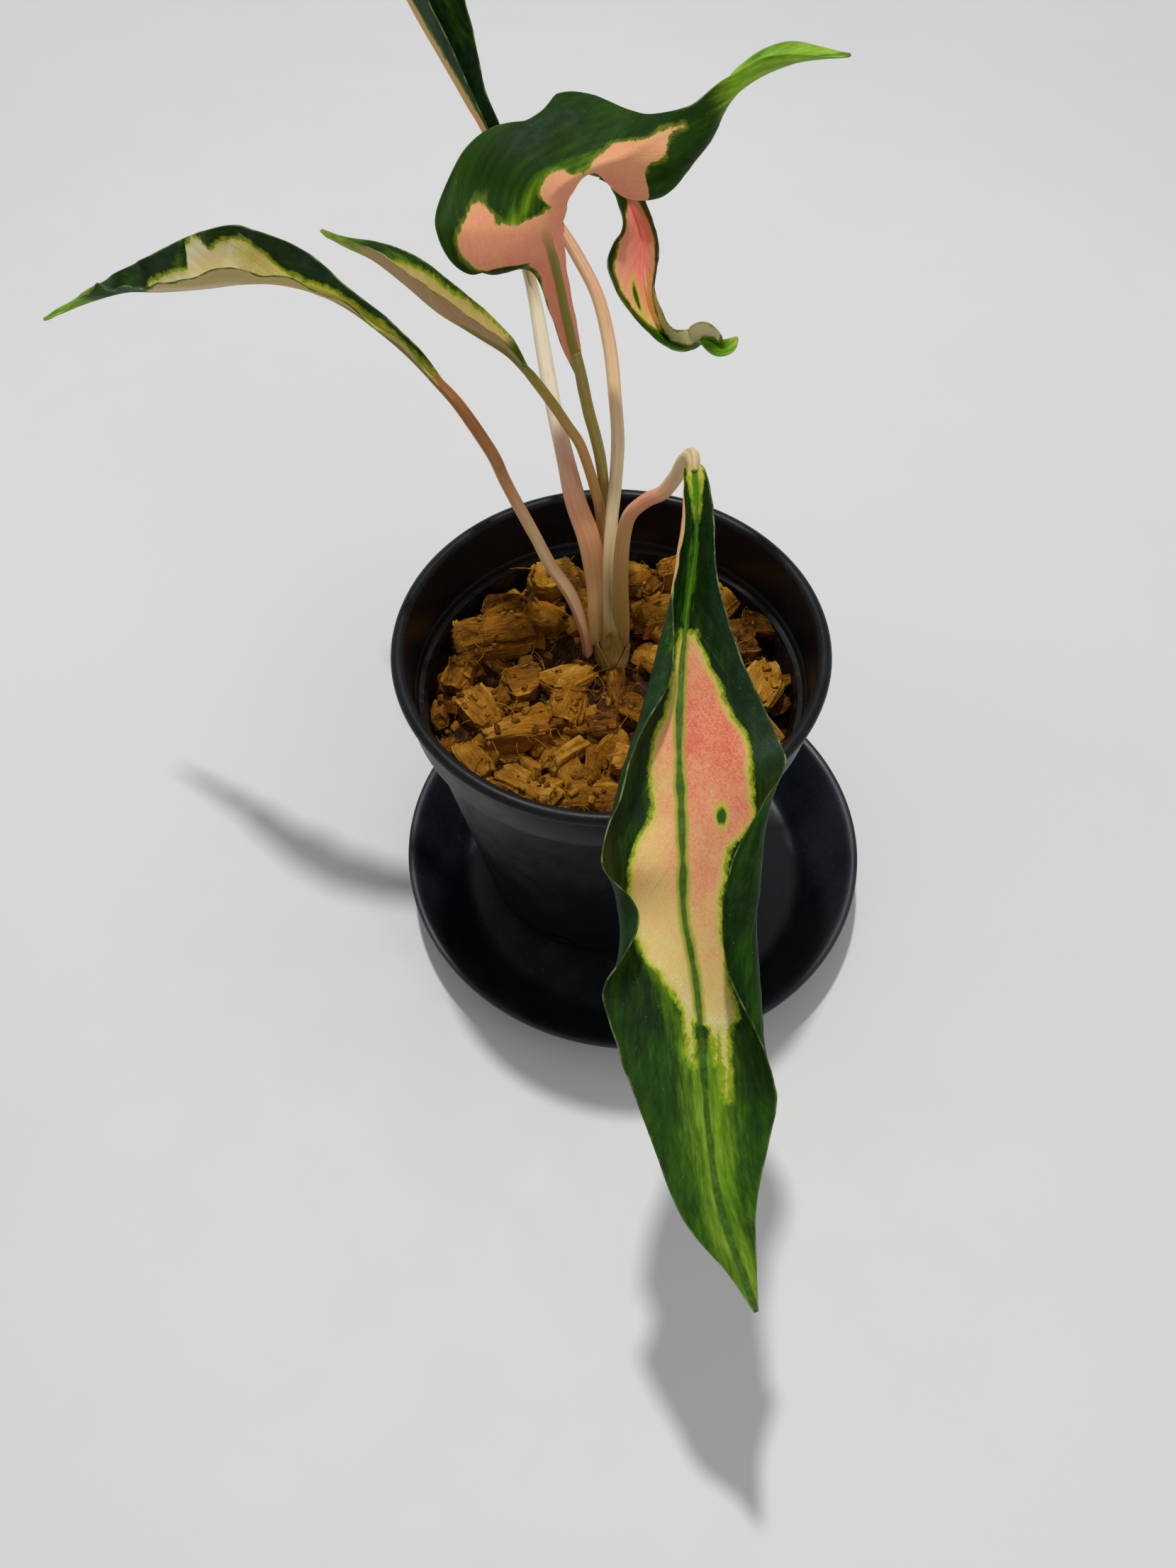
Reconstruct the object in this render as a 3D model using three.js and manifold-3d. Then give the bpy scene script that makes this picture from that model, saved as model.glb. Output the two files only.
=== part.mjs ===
// Young aroid house plant with six narrow, twisted pink and green leaves,
// standing in a black nursery pot of coconut husk chips on a round saucer.
// Millimetres, +Z up. The origin is the centre of the saucer's flat underside.

import * as THREE from 'three';
import { mergeVertices } from 'three/addons/utils/BufferGeometryUtils.js';
import Module from 'manifold-3d';

const wasm = await Module();
wasm.setup();

// Clearance between pieces that touch
const GAP = 0.3;

// Round parts are turned with this many sides
const TURNED_SIDES = 36;

// Saucer
const SAUCER_RIM_RADIUS = 74.5;
const SAUCER_HEIGHT = 18.5;
const SAUCER_FOOT_RADIUS = 56;
const SAUCER_FLOOR = 2.6;
const SAUCER_RIM_WIDTH = 3.4;

// Pot, in its own frame: its axis is x = y = 0 and the table is z = 0
const POT_OFFSET = [-7.5, 6.5, 0];
const POT_BASE = SAUCER_FLOOR + GAP;
const POT_FLOOR = POT_BASE + 2.4;
const POT_BASE_RADIUS = 42;
const POT_SHOULDER_RADIUS = 55;
const POT_SHOULDER_Z = 93;
const POT_COLLAR_RADIUS = 57.5;
const POT_RIM_RADIUS = 60;
const POT_RIM_INNER_RADIUS = 56.2;
const POT_HEIGHT = 110.5;
const POT_LEDGE_Z = 91;
const POT_WALL = 1.4;
const DRAIN_SLOTS = 8;
const DRAIN_SLOT_SIZE = [6, 9, 8];

// Husk chips that fill the pot
const HUSK_TOP = 86;
const HUSK_MOUND = 3;
const HUSK_BUMP = 1.6;
const CHIP_FOOT = 72;

// Cane, with the roots below it
const CANE_X = 0.6;
const CANE_Y = 13;
const CANE_TOP = 95;
const CANE_FOOT = 62;
const CANE_TOP_RADIUS = 5.2;
const CANE_FOOT_RADIUS = 4;
const ROOT_COUNT = 6;
const ROOT_RADIUS = 1.5;
const ROOT_SPREAD = 9.5;
const ROOT_FOOT = 34;
const ROOT_POCKET_RADIUS = 14;

// Leaves
const BLADE_THICKNESS = 0.7;
const BLADE_STEPS = 26;
const BLADE_HALF_STEPS = 4;
const BLADE_MIN_WIDTH = 0.4;
const PATH_SAMPLES = 120;
const STALK_SIDES = 9;
const STALK_STEPS = 20;
const STALK_FOOT = CANE_TOP + GAP;
const LEFT_STALK_FOOT = 91.5;
const STALK_LEAD = 3;

const COLOURS = {
  pot: 0x1b1c1f,
  saucer: 0x14171c,
  husk: 0x8f6422,
  chip: 0xb07c33,
  cane: 0x9a8a45,
  stalk: 0xd9c79f,
  pinkStalk: 0xc98f78,
  blade: 0x2f5a2c,
  paleBlade: 0x8ea83a,
};

// Each row of a blade is one place along its midrib, from the stalk to the tip:
// x, y, z of the midrib, twist of the blade about it, then for the right half and
// for the left half the width, the fold up from flat and the curl of the margin.
const FRONT_BLADE = {
  side: [-1, 0, 0],
  rows: [
    [19, 3, 168, 0, 2, 20, 10, 2, 20, 10],
    [19, -15, 163, 0, 7, 25, 100, 6, 50, 20],
    [16, -33, 156, 0, 10, 45, 65, 10, 35, 15],
    [14, -49, 150, 0, 15, 15, 190, 16, 20, 15],
    [13, -64, 145, 0, 18, 15, 120, 22, 10, 10],
    [13, -77, 140, 0, 22, 0, 120, 26, -5, 130],
    [13, -87, 135, 0, 23, 20, 60, 28, -5, 195],
    [13, -96, 130, 0, 24, -5, 175, 28, 5, 200],
    [15, -108, 124, 0, 22, 15, 30, 25, 10, 180],
    [16, -121, 117, 0, 18, 15, 10, 17.5, 5, 90],
    [17, -135, 108, 0, 12.5, 15, 0, 13.5, 0, 10],
    [19, -148, 100, 0, 8.5, 10, 0, 8, 5, 0],
    [23, -159, 93, 0, 3, 0, 0, 3.5, 0, 0],
    [26, -167, 89, 0, 0.4, 0, 0, 0.4, 0, 0],
  ],
};

const LEFT_BLADE = {
  side: [0, 1, 0],
  rows: [
    [-36.8, 26.8, 166, 50, 2, 30, 0, 2, 75, 0],
    [-49, 32, 178.5, 50, 3, 30, 0, 3.5, 75, 0],
    [-63, 37.5, 187.5, 50, 4.2, 30, 5, 6, 75, 0],
    [-76, 43, 189, 50, 9.3, 30, 10, 10, 75, 0],
    [-87, 46.5, 187.5, 50, 12.6, 30, 10, 12, 73, 0],
    [-99, 52, 183, 50, 11.8, 30, 15, 12, 75, 0],
    [-112, 58, 178.5, 50, 8.7, 28, 10, 9.5, 75, 0],
    [-124, 64.5, 174.5, 50, 5, 25, 10, 6.5, 75, 0],
    [-138, 71, 167.5, 50, 2.6, 20, 0, 3.5, 70, 0],
    [-155, 78, 158, 50, 0.4, 0, 0, 0.4, 0, 0],
  ],
};

const SMALL_LEFT_BLADE = {
  side: [0, 1, 0],
  rows: [
    [-19, 35, 168, 38, 2, 20, 0, 2, 90, 0],
    [-25, 42, 170, 38, 3.4, 15, 10, 4, 100, 0],
    [-34, 52, 169, 38, 6.2, 10, 20, 6.5, 100, 0],
    [-44, 63, 168, 38, 8, 10, 20, 8, 100, 0],
    [-54, 75, 169, 38, 7.5, 10, 20, 7, 100, 0],
    [-63, 86, 169, 38, 5, 10, 10, 4.5, 98, 0],
    [-73, 97, 167, 38, 2.3, 10, 0, 2, 80, 0],
    [-80, 106, 166, 38, 0.4, 0, 0, 0.4, 0, 0],
  ],
};

const CENTRE_BLADE = {
  side: [-1, 0, 0],
  rows: [
    [-6.4, 34, 166, -5, 2.5, 20, 0, 2.5, 60, 0],
    [-10, 37, 184, -5, 4.5, 30, 10, 4.5, 65, 10],
    [-12, 39.5, 194.5, -5, 7, 20, 15, 7, 65, 10],
    [-13.3, 40.3, 199, -3, 17, 5, 15, 8.5, 62, 10],
    [-14, 41, 203, 0, 25, 0, 10, 9, 60, 10],
    [-13.2, 43.5, 208, 25, 23, -12, 5, 10, 110, 15],
    [-9.8, 45, 211, 45, 18.5, -12, 0, 12, 130, 10],
    [-3.5, 46.5, 213.5, 45, 22, -10, 15, 13, 130, 10],
    [4, 49, 215, 45, 21, -5, 20, 11, 40, 90],
    [11, 51, 218, 35, 7, 0, 20, 14.5, 5, 140],
    [19, 54, 220, 0, 3, -10, 10, 11, -5, 130],
    [27, 58, 223, -50, 5, 0, 10, 9, 10, 80],
    [34, 63, 225, -90, 6, 20, 20, 8, 10, 60],
    [42, 67, 226, -115, 5, 20, 30, 6, 10, 60],
    [49, 69, 226, -125, 2.5, 20, 0, 3, 10, 30],
    [55, 70, 226, -130, 0.4, 0, 0, 0.4, 0, 0],
  ],
};

const RIGHT_BLADE = {
  side: [0, -1, 0],
  rows: [
    [-11, 97, 175, -70, 2, 60, 0, 2, 60, 0],
    [-9, 109, 179, -80, 4, 65, 0, 4, 65, 0],
    [-2, 114, 178, -100, 8, 68, 10, 9, 50, 10],
    [5, 111, 174, -115, 9, 68, 10, 11, 50, 10],
    [9, 104, 169, -118, 10, 70, 10, 10, 55, 20],
    [11, 99, 164, -120, 12, 58, 20, 11, 55, 20],
    [11, 92, 158, -120, 14, 50, 20, 12, 50, 30],
    [13, 84, 153, -120, 12, 50, 40, 8, 60, 20],
    [18, 76, 149, -120, 6, 55, 20, 5, 55, 20],
    [24, 71, 150, -120, 5, 50, 10, 5, 40, 10],
    [28, 69, 154, -120, 4, 50, 10, 5, 50, 10],
    [32, 65, 154, -120, 4, 40, 10, 3, 40, 10],
    [36, 67, 156, -120, 0.4, 0, 0, 0.4, 0, 0],
  ],
};

const BACK_BLADE = {
  side: [0, 1, 0],
  rows: [
    [-19, 74, 164, 70, 2, 40, 0, 2, 80, 0],
    [-24.8, 84, 186, 70, 3, 40, 0, 3, 90, 0],
    [-29.8, 91, 198, 70, 5, 40, 0, 4.5, 95, 0],
    [-34.8, 96, 205, 70, 6.5, 40, 0, 7, 100, 0],
    [-40.8, 102, 213, 70, 12, 40, 0, 10, 100, 0],
    [-45.8, 108, 219, 70, 16, 35, 10, 14, 100, 0],
    [-50.8, 115, 225, 70, 19, 30, 10, 17, 95, 0],
    [-57, 123, 231, 68, 19, 25, 10, 17, 90, 0],
    [-65, 131, 234, 64, 15, 20, 10, 14, 80, 0],
    [-75, 138, 234, 60, 9, 20, 0, 9, 60, 0],
    [-87, 144, 229, 60, 0.4, 0, 0, 0.4, 0, 0],
  ],
};

// Stalk centre lines: the foot on the cane, places along it, and the radius at foot
// and head. Each ends at the first row of its blade.
const STALKS = {
  front: {
    path: [
      [3.9, 11.5, STALK_FOOT], [3.7, 11.4, 104], [3, 10.8, 124], [3.4, 10.2, 138], [5, 9.6, 146],
      [8.5, 9.2, 150.5], [12.8, 8.8, 153.6], [15.6, 8.6, 158.5], [17.4, 7.6, 164.2], [18.5, 5.4, 167.6],
    ],
    radius: [1.6, 1.9],
  },
  left: {
    path: [
      [-6.2, 10.8, LEFT_STALK_FOOT], [-7.2, 11.8, 101], [-10.8, 15, 111], [-15.9, 17.6, 119.7],
      [-19.6, 20, 128], [-23.4, 22, 136.3], [-27, 24.5, 144], [-30, 25.6, 152.5],
    ],
    radius: [1.4, 1.7],
  },
  left_small: {
    path: [
      [-0.9, 14.2, STALK_FOOT], [-1, 15.4, 104], [-1.3, 20.5, 116], [-2, 26, 127], [-3.2, 28, 135.5],
      [-7, 30, 149.7], [-10.6, 31, 156.4], [-14.4, 32.4, 162.4],
    ],
    radius: [1.4, 1.4],
  },
  centre: {
    path: [
      [2.4, 15.8, STALK_FOOT], [2, 19, 104], [1, 25, 114], [-0.3, 29.8, 125], [-1.8, 32.2, 141.6],
      [-3.2, 33, 150.1], [-5.1, 33.8, 158.3],
    ],
    radius: [1.4, 1.5],
  },
  right: {
    path: [
      [0.3, 9.9, STALK_FOOT], [0.1, 11, 105], [0, 16, 121], [0.6, 22, 130.7], [1.9, 30, 138.4],
      [2.7, 40, 144.3], [2.2, 50, 150.3], [1, 63, 156.9], [-2, 75, 163.9], [-6, 86, 169.4],
    ],
    radius: [1.5, 1.8],
  },
  back: {
    path: [
      [-3.1, 11.8, STALK_FOOT], [-3.3, 13, 105], [-3.6, 16.5, 115], [-5.7, 21, 126.7], [-8.9, 27, 133.9],
      [-11, 34, 140], [-12.9, 42, 145.4], [-14.9, 51, 150.6], [-17, 63, 157],
    ],
    radius: [1.6, 2.3],
  },
};

// Chips that show on top of the husk: x, y of the middle, length, width, height,
// turn about the upright axis, tilt, and how far the middle lies above the fill
const CHIPS = [
  [-44, 4, 14, 9, 8, 80, 12, 2],
  [-34, 17, 23, 13, 10, 15, 8, 3],
  [-31, 31, 15, 9, 7, 20, -10, 2],
  [-17, 39, 14, 9, 16, 30, 15, 4],
  [-20, 26, 14, 8, 7, -30, 10, 2],
  [-12, 2, 16, 9, 7, 35, 8, 0],
  [-12, -8, 13, 11, 8, 70, -8, 2],
  [-25, 0, 11, 10, 7, 20, 10, 2],
  [-37, -8, 13, 11, 8, -50, 12, 2],
  [-26, -16, 19, 12, 8, 10, -12, 3],
  [-38, -24, 12, 8, 7, -60, 10, 1],
  [-23, -36, 19, 8, 8, -30, 8, 2],
  [-12, -25, 16, 5, 5, 40, 10, 3],
  [-7, -39, 17, 9, 7, 0, 6, 2],
  [-2, -15, 11, 9, 7, 15, -10, 2],
  [9, -10, 14, 10, 7, -20, 10, 2],
  [7, -27, 16, 8, 7, 5, 8, 2],
  [10, 37, 13, 10, 12, 40, 14, 3],
  [20, 42, 10, 7, 16, 10, 10, 5],
  [15, 25, 14, 11, 9, 30, 12, 3],
  [36, 14, 13, 11, 9, 15, 8, 3],
  [33, 30, 12, 10, 9, 50, 12, 3],
  [45, 22, 12, 7, 5, -10, 15, 3],
  [43, -2, 15, 12, 9, 60, 6, 3],
  [41, -18, 12, 9, 7, -60, 8, 1],
  [25, 7, 14, 11, 8, -40, 10, 2],
  [26, -16, 15, 11, 8, 20, -8, 2],
  [24, -34, 16, 10, 7, 30, 8, 2],
];

const degrees = THREE.MathUtils.degToRad;

// Colour and gloss of one kind of surface
function finish(colour, roughness, side = THREE.FrontSide) {
  return new THREE.MeshStandardMaterial({ color: colour, roughness, metalness: 0, side });
}

// A closed mesh as a solid that can be cut and joined
function toSolid(geometry) {
  const bare = geometry.clone();
  bare.deleteAttribute('normal');
  bare.deleteAttribute('uv');
  const welded = mergeVertices(bare, 1e-4);
  return new wasm.Manifold(new wasm.Mesh({
    numProp: 3,
    vertProperties: new Float32Array(welded.attributes.position.array),
    triVerts: new Uint32Array(welded.index.array),
  }));
}

// A solid back as a mesh
function toGeometry(solid) {
  const mesh = solid.getMesh();
  const geometry = new THREE.BufferGeometry();
  geometry.setAttribute('position', new THREE.BufferAttribute(mesh.vertProperties, 3));
  geometry.setIndex(new THREE.BufferAttribute(mesh.triVerts, 1));
  geometry.computeVertexNormals();
  return geometry;
}

// A repeatable random number from 0 to 1
function makeRandom(seed) {
  let state = seed;
  return () => {
    state = (state * 16807) % 2147483647;
    return state / 2147483647;
  };
}

// A profile of [radius, height] points turned about the upright axis
function turned(profile) {
  const points = profile.map(([radius, height]) => new THREE.Vector2(radius, height));
  const geometry = new THREE.LatheGeometry(points, TURNED_SIDES);
  geometry.rotateX(Math.PI / 2);
  return geometry;
}

// Wide shallow dish with sloping wall and a flat rim
function saucerGeometry() {
  const wallTop = SAUCER_HEIGHT - 1.6;
  return turned([
    [0, 0],
    [SAUCER_FOOT_RADIUS, 0],
    [SAUCER_FOOT_RADIUS + 3, 1.4],
    [SAUCER_RIM_RADIUS - 1.6, wallTop],
    [SAUCER_RIM_RADIUS, SAUCER_HEIGHT - 1.2],
    [SAUCER_RIM_RADIUS, SAUCER_HEIGHT - 0.3],
    [SAUCER_RIM_RADIUS - 0.6, SAUCER_HEIGHT],
    [SAUCER_RIM_RADIUS - SAUCER_RIM_WIDTH, SAUCER_HEIGHT - 0.2],
    [SAUCER_RIM_RADIUS - SAUCER_RIM_WIDTH - 1, wallTop - 0.4],
    [SAUCER_FOOT_RADIUS + 3, 4.6],
    [SAUCER_FOOT_RADIUS, SAUCER_FLOOR],
    [0, SAUCER_FLOOR],
  ]);
}

// Inner radius of the pot below its ledge
function potInnerRadius(z) {
  const share = (z - POT_BASE) / (POT_SHOULDER_Z - POT_BASE);
  return THREE.MathUtils.lerp(POT_BASE_RADIUS, POT_SHOULDER_RADIUS, share) - POT_WALL - 0.6 * share;
}

// Tapered nursery pot with a collar, a rolled rim, an inner ledge and drain slots
function potGeometry() {
  const shell = toSolid(turned([
    [0, POT_BASE],
    [POT_BASE_RADIUS - 1.2, POT_BASE],
    [POT_BASE_RADIUS, POT_BASE + 1.2],
    [POT_SHOULDER_RADIUS, POT_SHOULDER_Z],
    [POT_COLLAR_RADIUS - 0.4, POT_SHOULDER_Z + 0.8],
    [POT_COLLAR_RADIUS + 0.6, POT_HEIGHT - 4.2],
    [POT_RIM_RADIUS - 0.6, POT_HEIGHT - 3.2],
    [POT_RIM_RADIUS, POT_HEIGHT - 1.6],
    [POT_RIM_RADIUS - 0.6, POT_HEIGHT - 0.4],
    [POT_RIM_RADIUS - 1.8, POT_HEIGHT],
    [POT_RIM_INNER_RADIUS + 0.7, POT_HEIGHT - 0.4],
    [POT_RIM_INNER_RADIUS, POT_HEIGHT - 1.6],
    [POT_COLLAR_RADIUS - 2, POT_LEDGE_Z + 1.2],
    [POT_COLLAR_RADIUS - 2.6, POT_LEDGE_Z],
    [potInnerRadius(POT_LEDGE_Z - 0.8), POT_LEDGE_Z - 0.8],
    [potInnerRadius(POT_FLOOR + 1), POT_FLOOR + 1],
    [potInnerRadius(POT_FLOOR) - 1, POT_FLOOR],
    [0, POT_FLOOR],
  ]));
  const [slotWidth, slotHeight, slotDepth] = DRAIN_SLOT_SIZE;
  const slots = [];
  for (let index = 0; index < DRAIN_SLOTS; index += 1) {
    const slot = new THREE.BoxGeometry(slotDepth, slotWidth, slotHeight);
    slot.translate(POT_BASE_RADIUS - 0.5, 0, POT_BASE + slotHeight / 2 - 1);
    slot.rotateZ(((index + 0.5) * 2 * Math.PI) / DRAIN_SLOTS);
    slots.push(toSolid(slot));
  }
  return toGeometry(slots.reduce((left, slot) => left.subtract(slot), shell));
}

// Height of the husk fill above the table at a place in the pot
function huskHeight(x, y) {
  const share = Math.min(1, Math.hypot(x, y) / 50);
  const bumps = Math.sin(x * 0.42 + 0.7) * Math.sin(y * 0.38 - 0.4) + 0.5 * Math.sin(x * 0.21 - y * 0.3);
  return HUSK_TOP + HUSK_MOUND * (1 - share * share) + HUSK_BUMP * bumps * (1 - share ** 8);
}

// The space kept free for the cane and roots
function rootPocket() {
  const pocket = turned([
    [0, ROOT_FOOT - ROOT_RADIUS - GAP],
    [ROOT_POCKET_RADIUS, ROOT_FOOT - ROOT_RADIUS - GAP],
    [ROOT_POCKET_RADIUS, CANE_FOOT - 8],
    [CANE_TOP_RADIUS + 0.4, CANE_FOOT + 6],
    [CANE_TOP_RADIUS + 0.4, CANE_TOP + 10],
    [0, CANE_TOP + 10],
  ]);
  pocket.translate(CANE_X, CANE_Y, 0);
  return toSolid(pocket);
}

// The husk fill, with a bumpy top
function huskSolid() {
  const foot = POT_FLOOR + GAP;
  const wall = (z) => potInnerRadius(z) - GAP;
  const topRadius = wall(HUSK_TOP);
  const rings = [0.97, 0.86, 0.72, 0.56, 0.38, 0.18];
  const geometry = turned([
    [0, foot],
    [wall(foot) - 1.4, foot],
    [wall(foot + 1.2), foot + 1.2],
    [topRadius - 0.1, HUSK_TOP],
    ...rings.map((share) => [topRadius * share, HUSK_TOP + 1]),
    [0, HUSK_TOP + 1],
  ]);
  const position = geometry.attributes.position;
  for (let index = 0; index < position.count; index += 1) {
    if (position.getZ(index) > HUSK_TOP + 0.5) {
      position.setZ(index, huskHeight(position.getX(index), position.getY(index)));
    }
  }
  return toSolid(geometry);
}

// One irregular chip of husk: a block with its corners moved
function chipGeometry([x, y, length, width, height, turn, tilt, lift], seed, grow = 0) {
  const random = makeRandom(seed);
  const geometry = mergeVertices(bareBlock(length, width, height), 1e-4);
  const position = geometry.attributes.position;
  const place = new THREE.Vector3();
  for (let index = 0; index < position.count; index += 1) {
    place.fromBufferAttribute(position, index);
    const edge = Math.abs(place.x) < 0.01 ? 0.5 : 1;
    place.x *= 1 - 0.24 * random() * edge;
    place.y *= 1 - 0.26 * random() * edge;
    place.z *= 1 - 0.22 * random() * edge;
    place.multiplyScalar(1 + (2 * grow) / height);
    position.setXYZ(index, place.x, place.y, place.z);
  }
  geometry.rotateX(degrees(tilt));
  geometry.rotateY(degrees(tilt * 0.7));
  geometry.rotateZ(degrees(turn));
  geometry.translate(x, y, huskHeight(x, y) + lift);
  return geometry;
}

// A block with one middle row of corners and only positions
function bareBlock(length, width, height) {
  const block = new THREE.BoxGeometry(length, width, height, 2, 1, 1);
  block.deleteAttribute('normal');
  block.deleteAttribute('uv');
  return block;
}

// Chips inside the pot's wall, each trimmed clear of those before it, and the fill
// trimmed clear of them all
function huskPieces() {
  const reach = potInnerRadius(CHIP_FOOT) - GAP;
  const inside = toSolid(turned([[0, CHIP_FOOT], [reach, CHIP_FOOT], [reach, POT_HEIGHT], [0, POT_HEIGHT]]));
  const pieces = [];
  let taken = rootPocket();
  CHIPS.forEach((chip, index) => {
    const seed = 101 + 17 * index;
    const solid = toSolid(chipGeometry(chip, seed)).intersect(inside).subtract(taken);
    taken = taken.add(toSolid(chipGeometry(chip, seed, GAP + 0.15)));
    pieces.push(largest(solid));
  });
  return { fill: largest(huskSolid().subtract(taken)), chips: pieces };
}

// The largest body of a solid
function largest(solid) {
  const bodies = solid.decompose();
  bodies.sort((one, other) => other.volume() - one.volume());
  return bodies[0];
}

// Value of every column of the rows at t from 0 to 1, on a smooth curve through them
function smoothRow(rows, t) {
  const spans = rows.length - 1;
  const along = THREE.MathUtils.clamp(t, 0, 1) * spans;
  const index = Math.min(Math.floor(along), spans - 1);
  const f = along - index;
  return rows[0].map((unused, column) => {
    const b = rows[index][column];
    const c = rows[index + 1][column];
    const a = index > 0 ? rows[index - 1][column] : 2 * b - c;
    const d = index + 2 <= spans ? rows[index + 2][column] : 2 * c - b;
    return 0.5 * (2 * b + (c - a) * f + (2 * a - 5 * b + 4 * c - d) * f * f
      + (3 * b - a - 3 * c + d) * f * f * f);
  });
}

// Point, direction and untwisted side of a midrib at even steps
function followPath(rows, side) {
  const points = [];
  for (let step = 0; step <= PATH_SAMPLES; step += 1) {
    const [x, y, z] = smoothRow(rows, step / PATH_SAMPLES);
    points.push(new THREE.Vector3(x, y, z));
  }
  const across = new THREE.Vector3(...side);
  return points.map((point, step) => {
    const next = points[Math.min(step + 1, PATH_SAMPLES)];
    const last = points[Math.max(step - 1, 0)];
    const along = next.clone().sub(last).normalize();
    across.addScaledVector(along, -across.dot(along)).normalize();
    return { point, along, across: across.clone() };
  });
}

// Half of a blade's section: steps out from the midrib that turn by fold, then curl
function halfSection(width, fold, curl) {
  const fineSteps = 6;
  const count = BLADE_HALF_STEPS * fineSteps;
  const reach = Math.max(width, BLADE_MIN_WIDTH);
  const steps = [];
  let out = 0;
  let up = 0;
  for (let index = 0; index < count; index += 1) {
    const share = (index + 0.5) / count;
    const angle = degrees(fold + curl * share * share);
    out += (reach / count) * Math.cos(angle);
    up += (reach / count) * Math.sin(angle);
    if ((index + 1) % fineSteps === 0) {
      steps.push([out, up]);
    }
  }
  return steps;
}

// Points of the middle sheet of a blade, from left margin to right margin
function bladeSheet({ rows, side }) {
  const frames = followPath(rows, side);
  const sheet = [];
  for (let step = 0; step <= BLADE_STEPS; step += 1) {
    const t = step / BLADE_STEPS;
    const frame = frames[Math.round(t * PATH_SAMPLES)];
    const row = smoothRow(rows, t);
    const turn = degrees(row[3]);
    const up = frame.across.clone().cross(frame.along);
    const right = frame.across.clone().multiplyScalar(Math.cos(turn)).addScaledVector(up, Math.sin(turn));
    const face = right.clone().cross(frame.along);
    const at = (out, rise) => frame.point.clone().addScaledVector(right, out).addScaledVector(face, rise);
    const rightHalf = halfSection(row[4], row[5], row[6]).map(([out, rise]) => at(out, rise));
    const leftHalf = halfSection(row[7], row[8], row[9]).map(([out, rise]) => at(-out, rise));
    sheet.push([...leftHalf.reverse(), frame.point.clone(), ...rightHalf]);
  }
  return sheet;
}

// A blade of even thickness: the corners of a gridded block moved onto its sheet
function bladeGeometry(blade) {
  const sheet = bladeSheet(blade);
  const columns = 2 * BLADE_HALF_STEPS;
  const geometry = new THREE.BoxGeometry(1, 1, 1, columns, BLADE_STEPS, 1);
  const position = geometry.attributes.position;
  const normalAt = (step, column) => {
    const down = sheet[Math.max(step - 1, 0)][column];
    const up = sheet[Math.min(step + 1, BLADE_STEPS)][column];
    const left = sheet[step][Math.max(column - 1, 0)];
    const right = sheet[step][Math.min(column + 1, columns)];
    return right.clone().sub(left).cross(up.clone().sub(down)).normalize();
  };
  for (let index = 0; index < position.count; index += 1) {
    const column = Math.round((position.getX(index) + 0.5) * columns);
    const step = Math.round((position.getY(index) + 0.5) * BLADE_STEPS);
    const layer = Math.sign(position.getZ(index));
    const place = sheet[step][column].clone();
    place.addScaledVector(normalAt(step, column), (layer * BLADE_THICKNESS) / 2);
    position.setXYZ(index, place.x, place.y, place.z);
  }
  return geometry;
}

// A round stalk along a curve: the corners of a cylinder moved onto it. Its last
// section can be turned square to a given direction.
function tubeGeometry(points, startRadius, endRadius, sides, steps, endAlong = null) {
  const curve = new THREE.CatmullRomCurve3(points);
  const frames = curve.computeFrenetFrames(steps, false);
  if (endAlong) {
    frames.normals[steps].addScaledVector(endAlong, -endAlong.dot(frames.normals[steps])).normalize();
    frames.binormals[steps].crossVectors(endAlong, frames.normals[steps]);
  }
  const geometry = new THREE.CylinderGeometry(1, 1, 1, sides, steps);
  const position = geometry.attributes.position;
  for (let index = 0; index < position.count; index += 1) {
    const step = Math.round((position.getY(index) + 0.5) * steps);
    const radius = THREE.MathUtils.lerp(startRadius, endRadius, step / steps);
    const place = curve.getPointAt(step / steps);
    place.addScaledVector(frames.binormals[step], position.getX(index) * radius);
    place.addScaledVector(frames.normals[step], position.getZ(index) * radius);
    position.setXYZ(index, place.x, place.y, place.z);
  }
  return geometry;
}

// A leaf's stalk, upright at its foot and in line with its blade at its head
function stalkGeometry({ path, radius }, { rows, side }) {
  const [foot, ...rest] = path.map((place) => new THREE.Vector3(...place));
  const blade = new THREE.Vector3(...rows[0].slice(0, 3));
  const { along } = followPath(rows, side)[0];
  const points = [
    foot,
    foot.clone().add(new THREE.Vector3(0, 0, STALK_LEAD)),
    ...rest,
    blade.clone().addScaledVector(along, -GAP),
  ];
  return tubeGeometry(points, radius[0], radius[1], STALK_SIDES, STALK_STEPS, along);
}

// The short cane and its roots, grown as one piece
function caneGeometry() {
  const middle = (z) => new THREE.Vector3(CANE_X, CANE_Y, z);
  const caneLine = [middle(CANE_FOOT), middle((CANE_FOOT + CANE_TOP) / 2), middle(CANE_TOP)];
  let plant = toSolid(tubeGeometry(caneLine, CANE_FOOT_RADIUS, CANE_TOP_RADIUS, 16, 6));
  for (let index = 0; index < ROOT_COUNT; index += 1) {
    const angle = (index * 2 * Math.PI) / ROOT_COUNT;
    const out = new THREE.Vector3(Math.cos(angle), Math.sin(angle), 0);
    const line = [
      middle(CANE_FOOT + 4).addScaledVector(out, 1.2),
      middle(CANE_FOOT - 6).addScaledVector(out, ROOT_SPREAD * 0.6),
      middle(ROOT_FOOT + 12).addScaledVector(out, ROOT_SPREAD),
      middle(ROOT_FOOT + ROOT_RADIUS).addScaledVector(out, ROOT_SPREAD * 0.8),
    ];
    plant = plant.add(toSolid(tubeGeometry(line, ROOT_RADIUS * 1.2, ROOT_RADIUS * 0.7, 7, 7)));
  }
  return toGeometry(plant);
}

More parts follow.
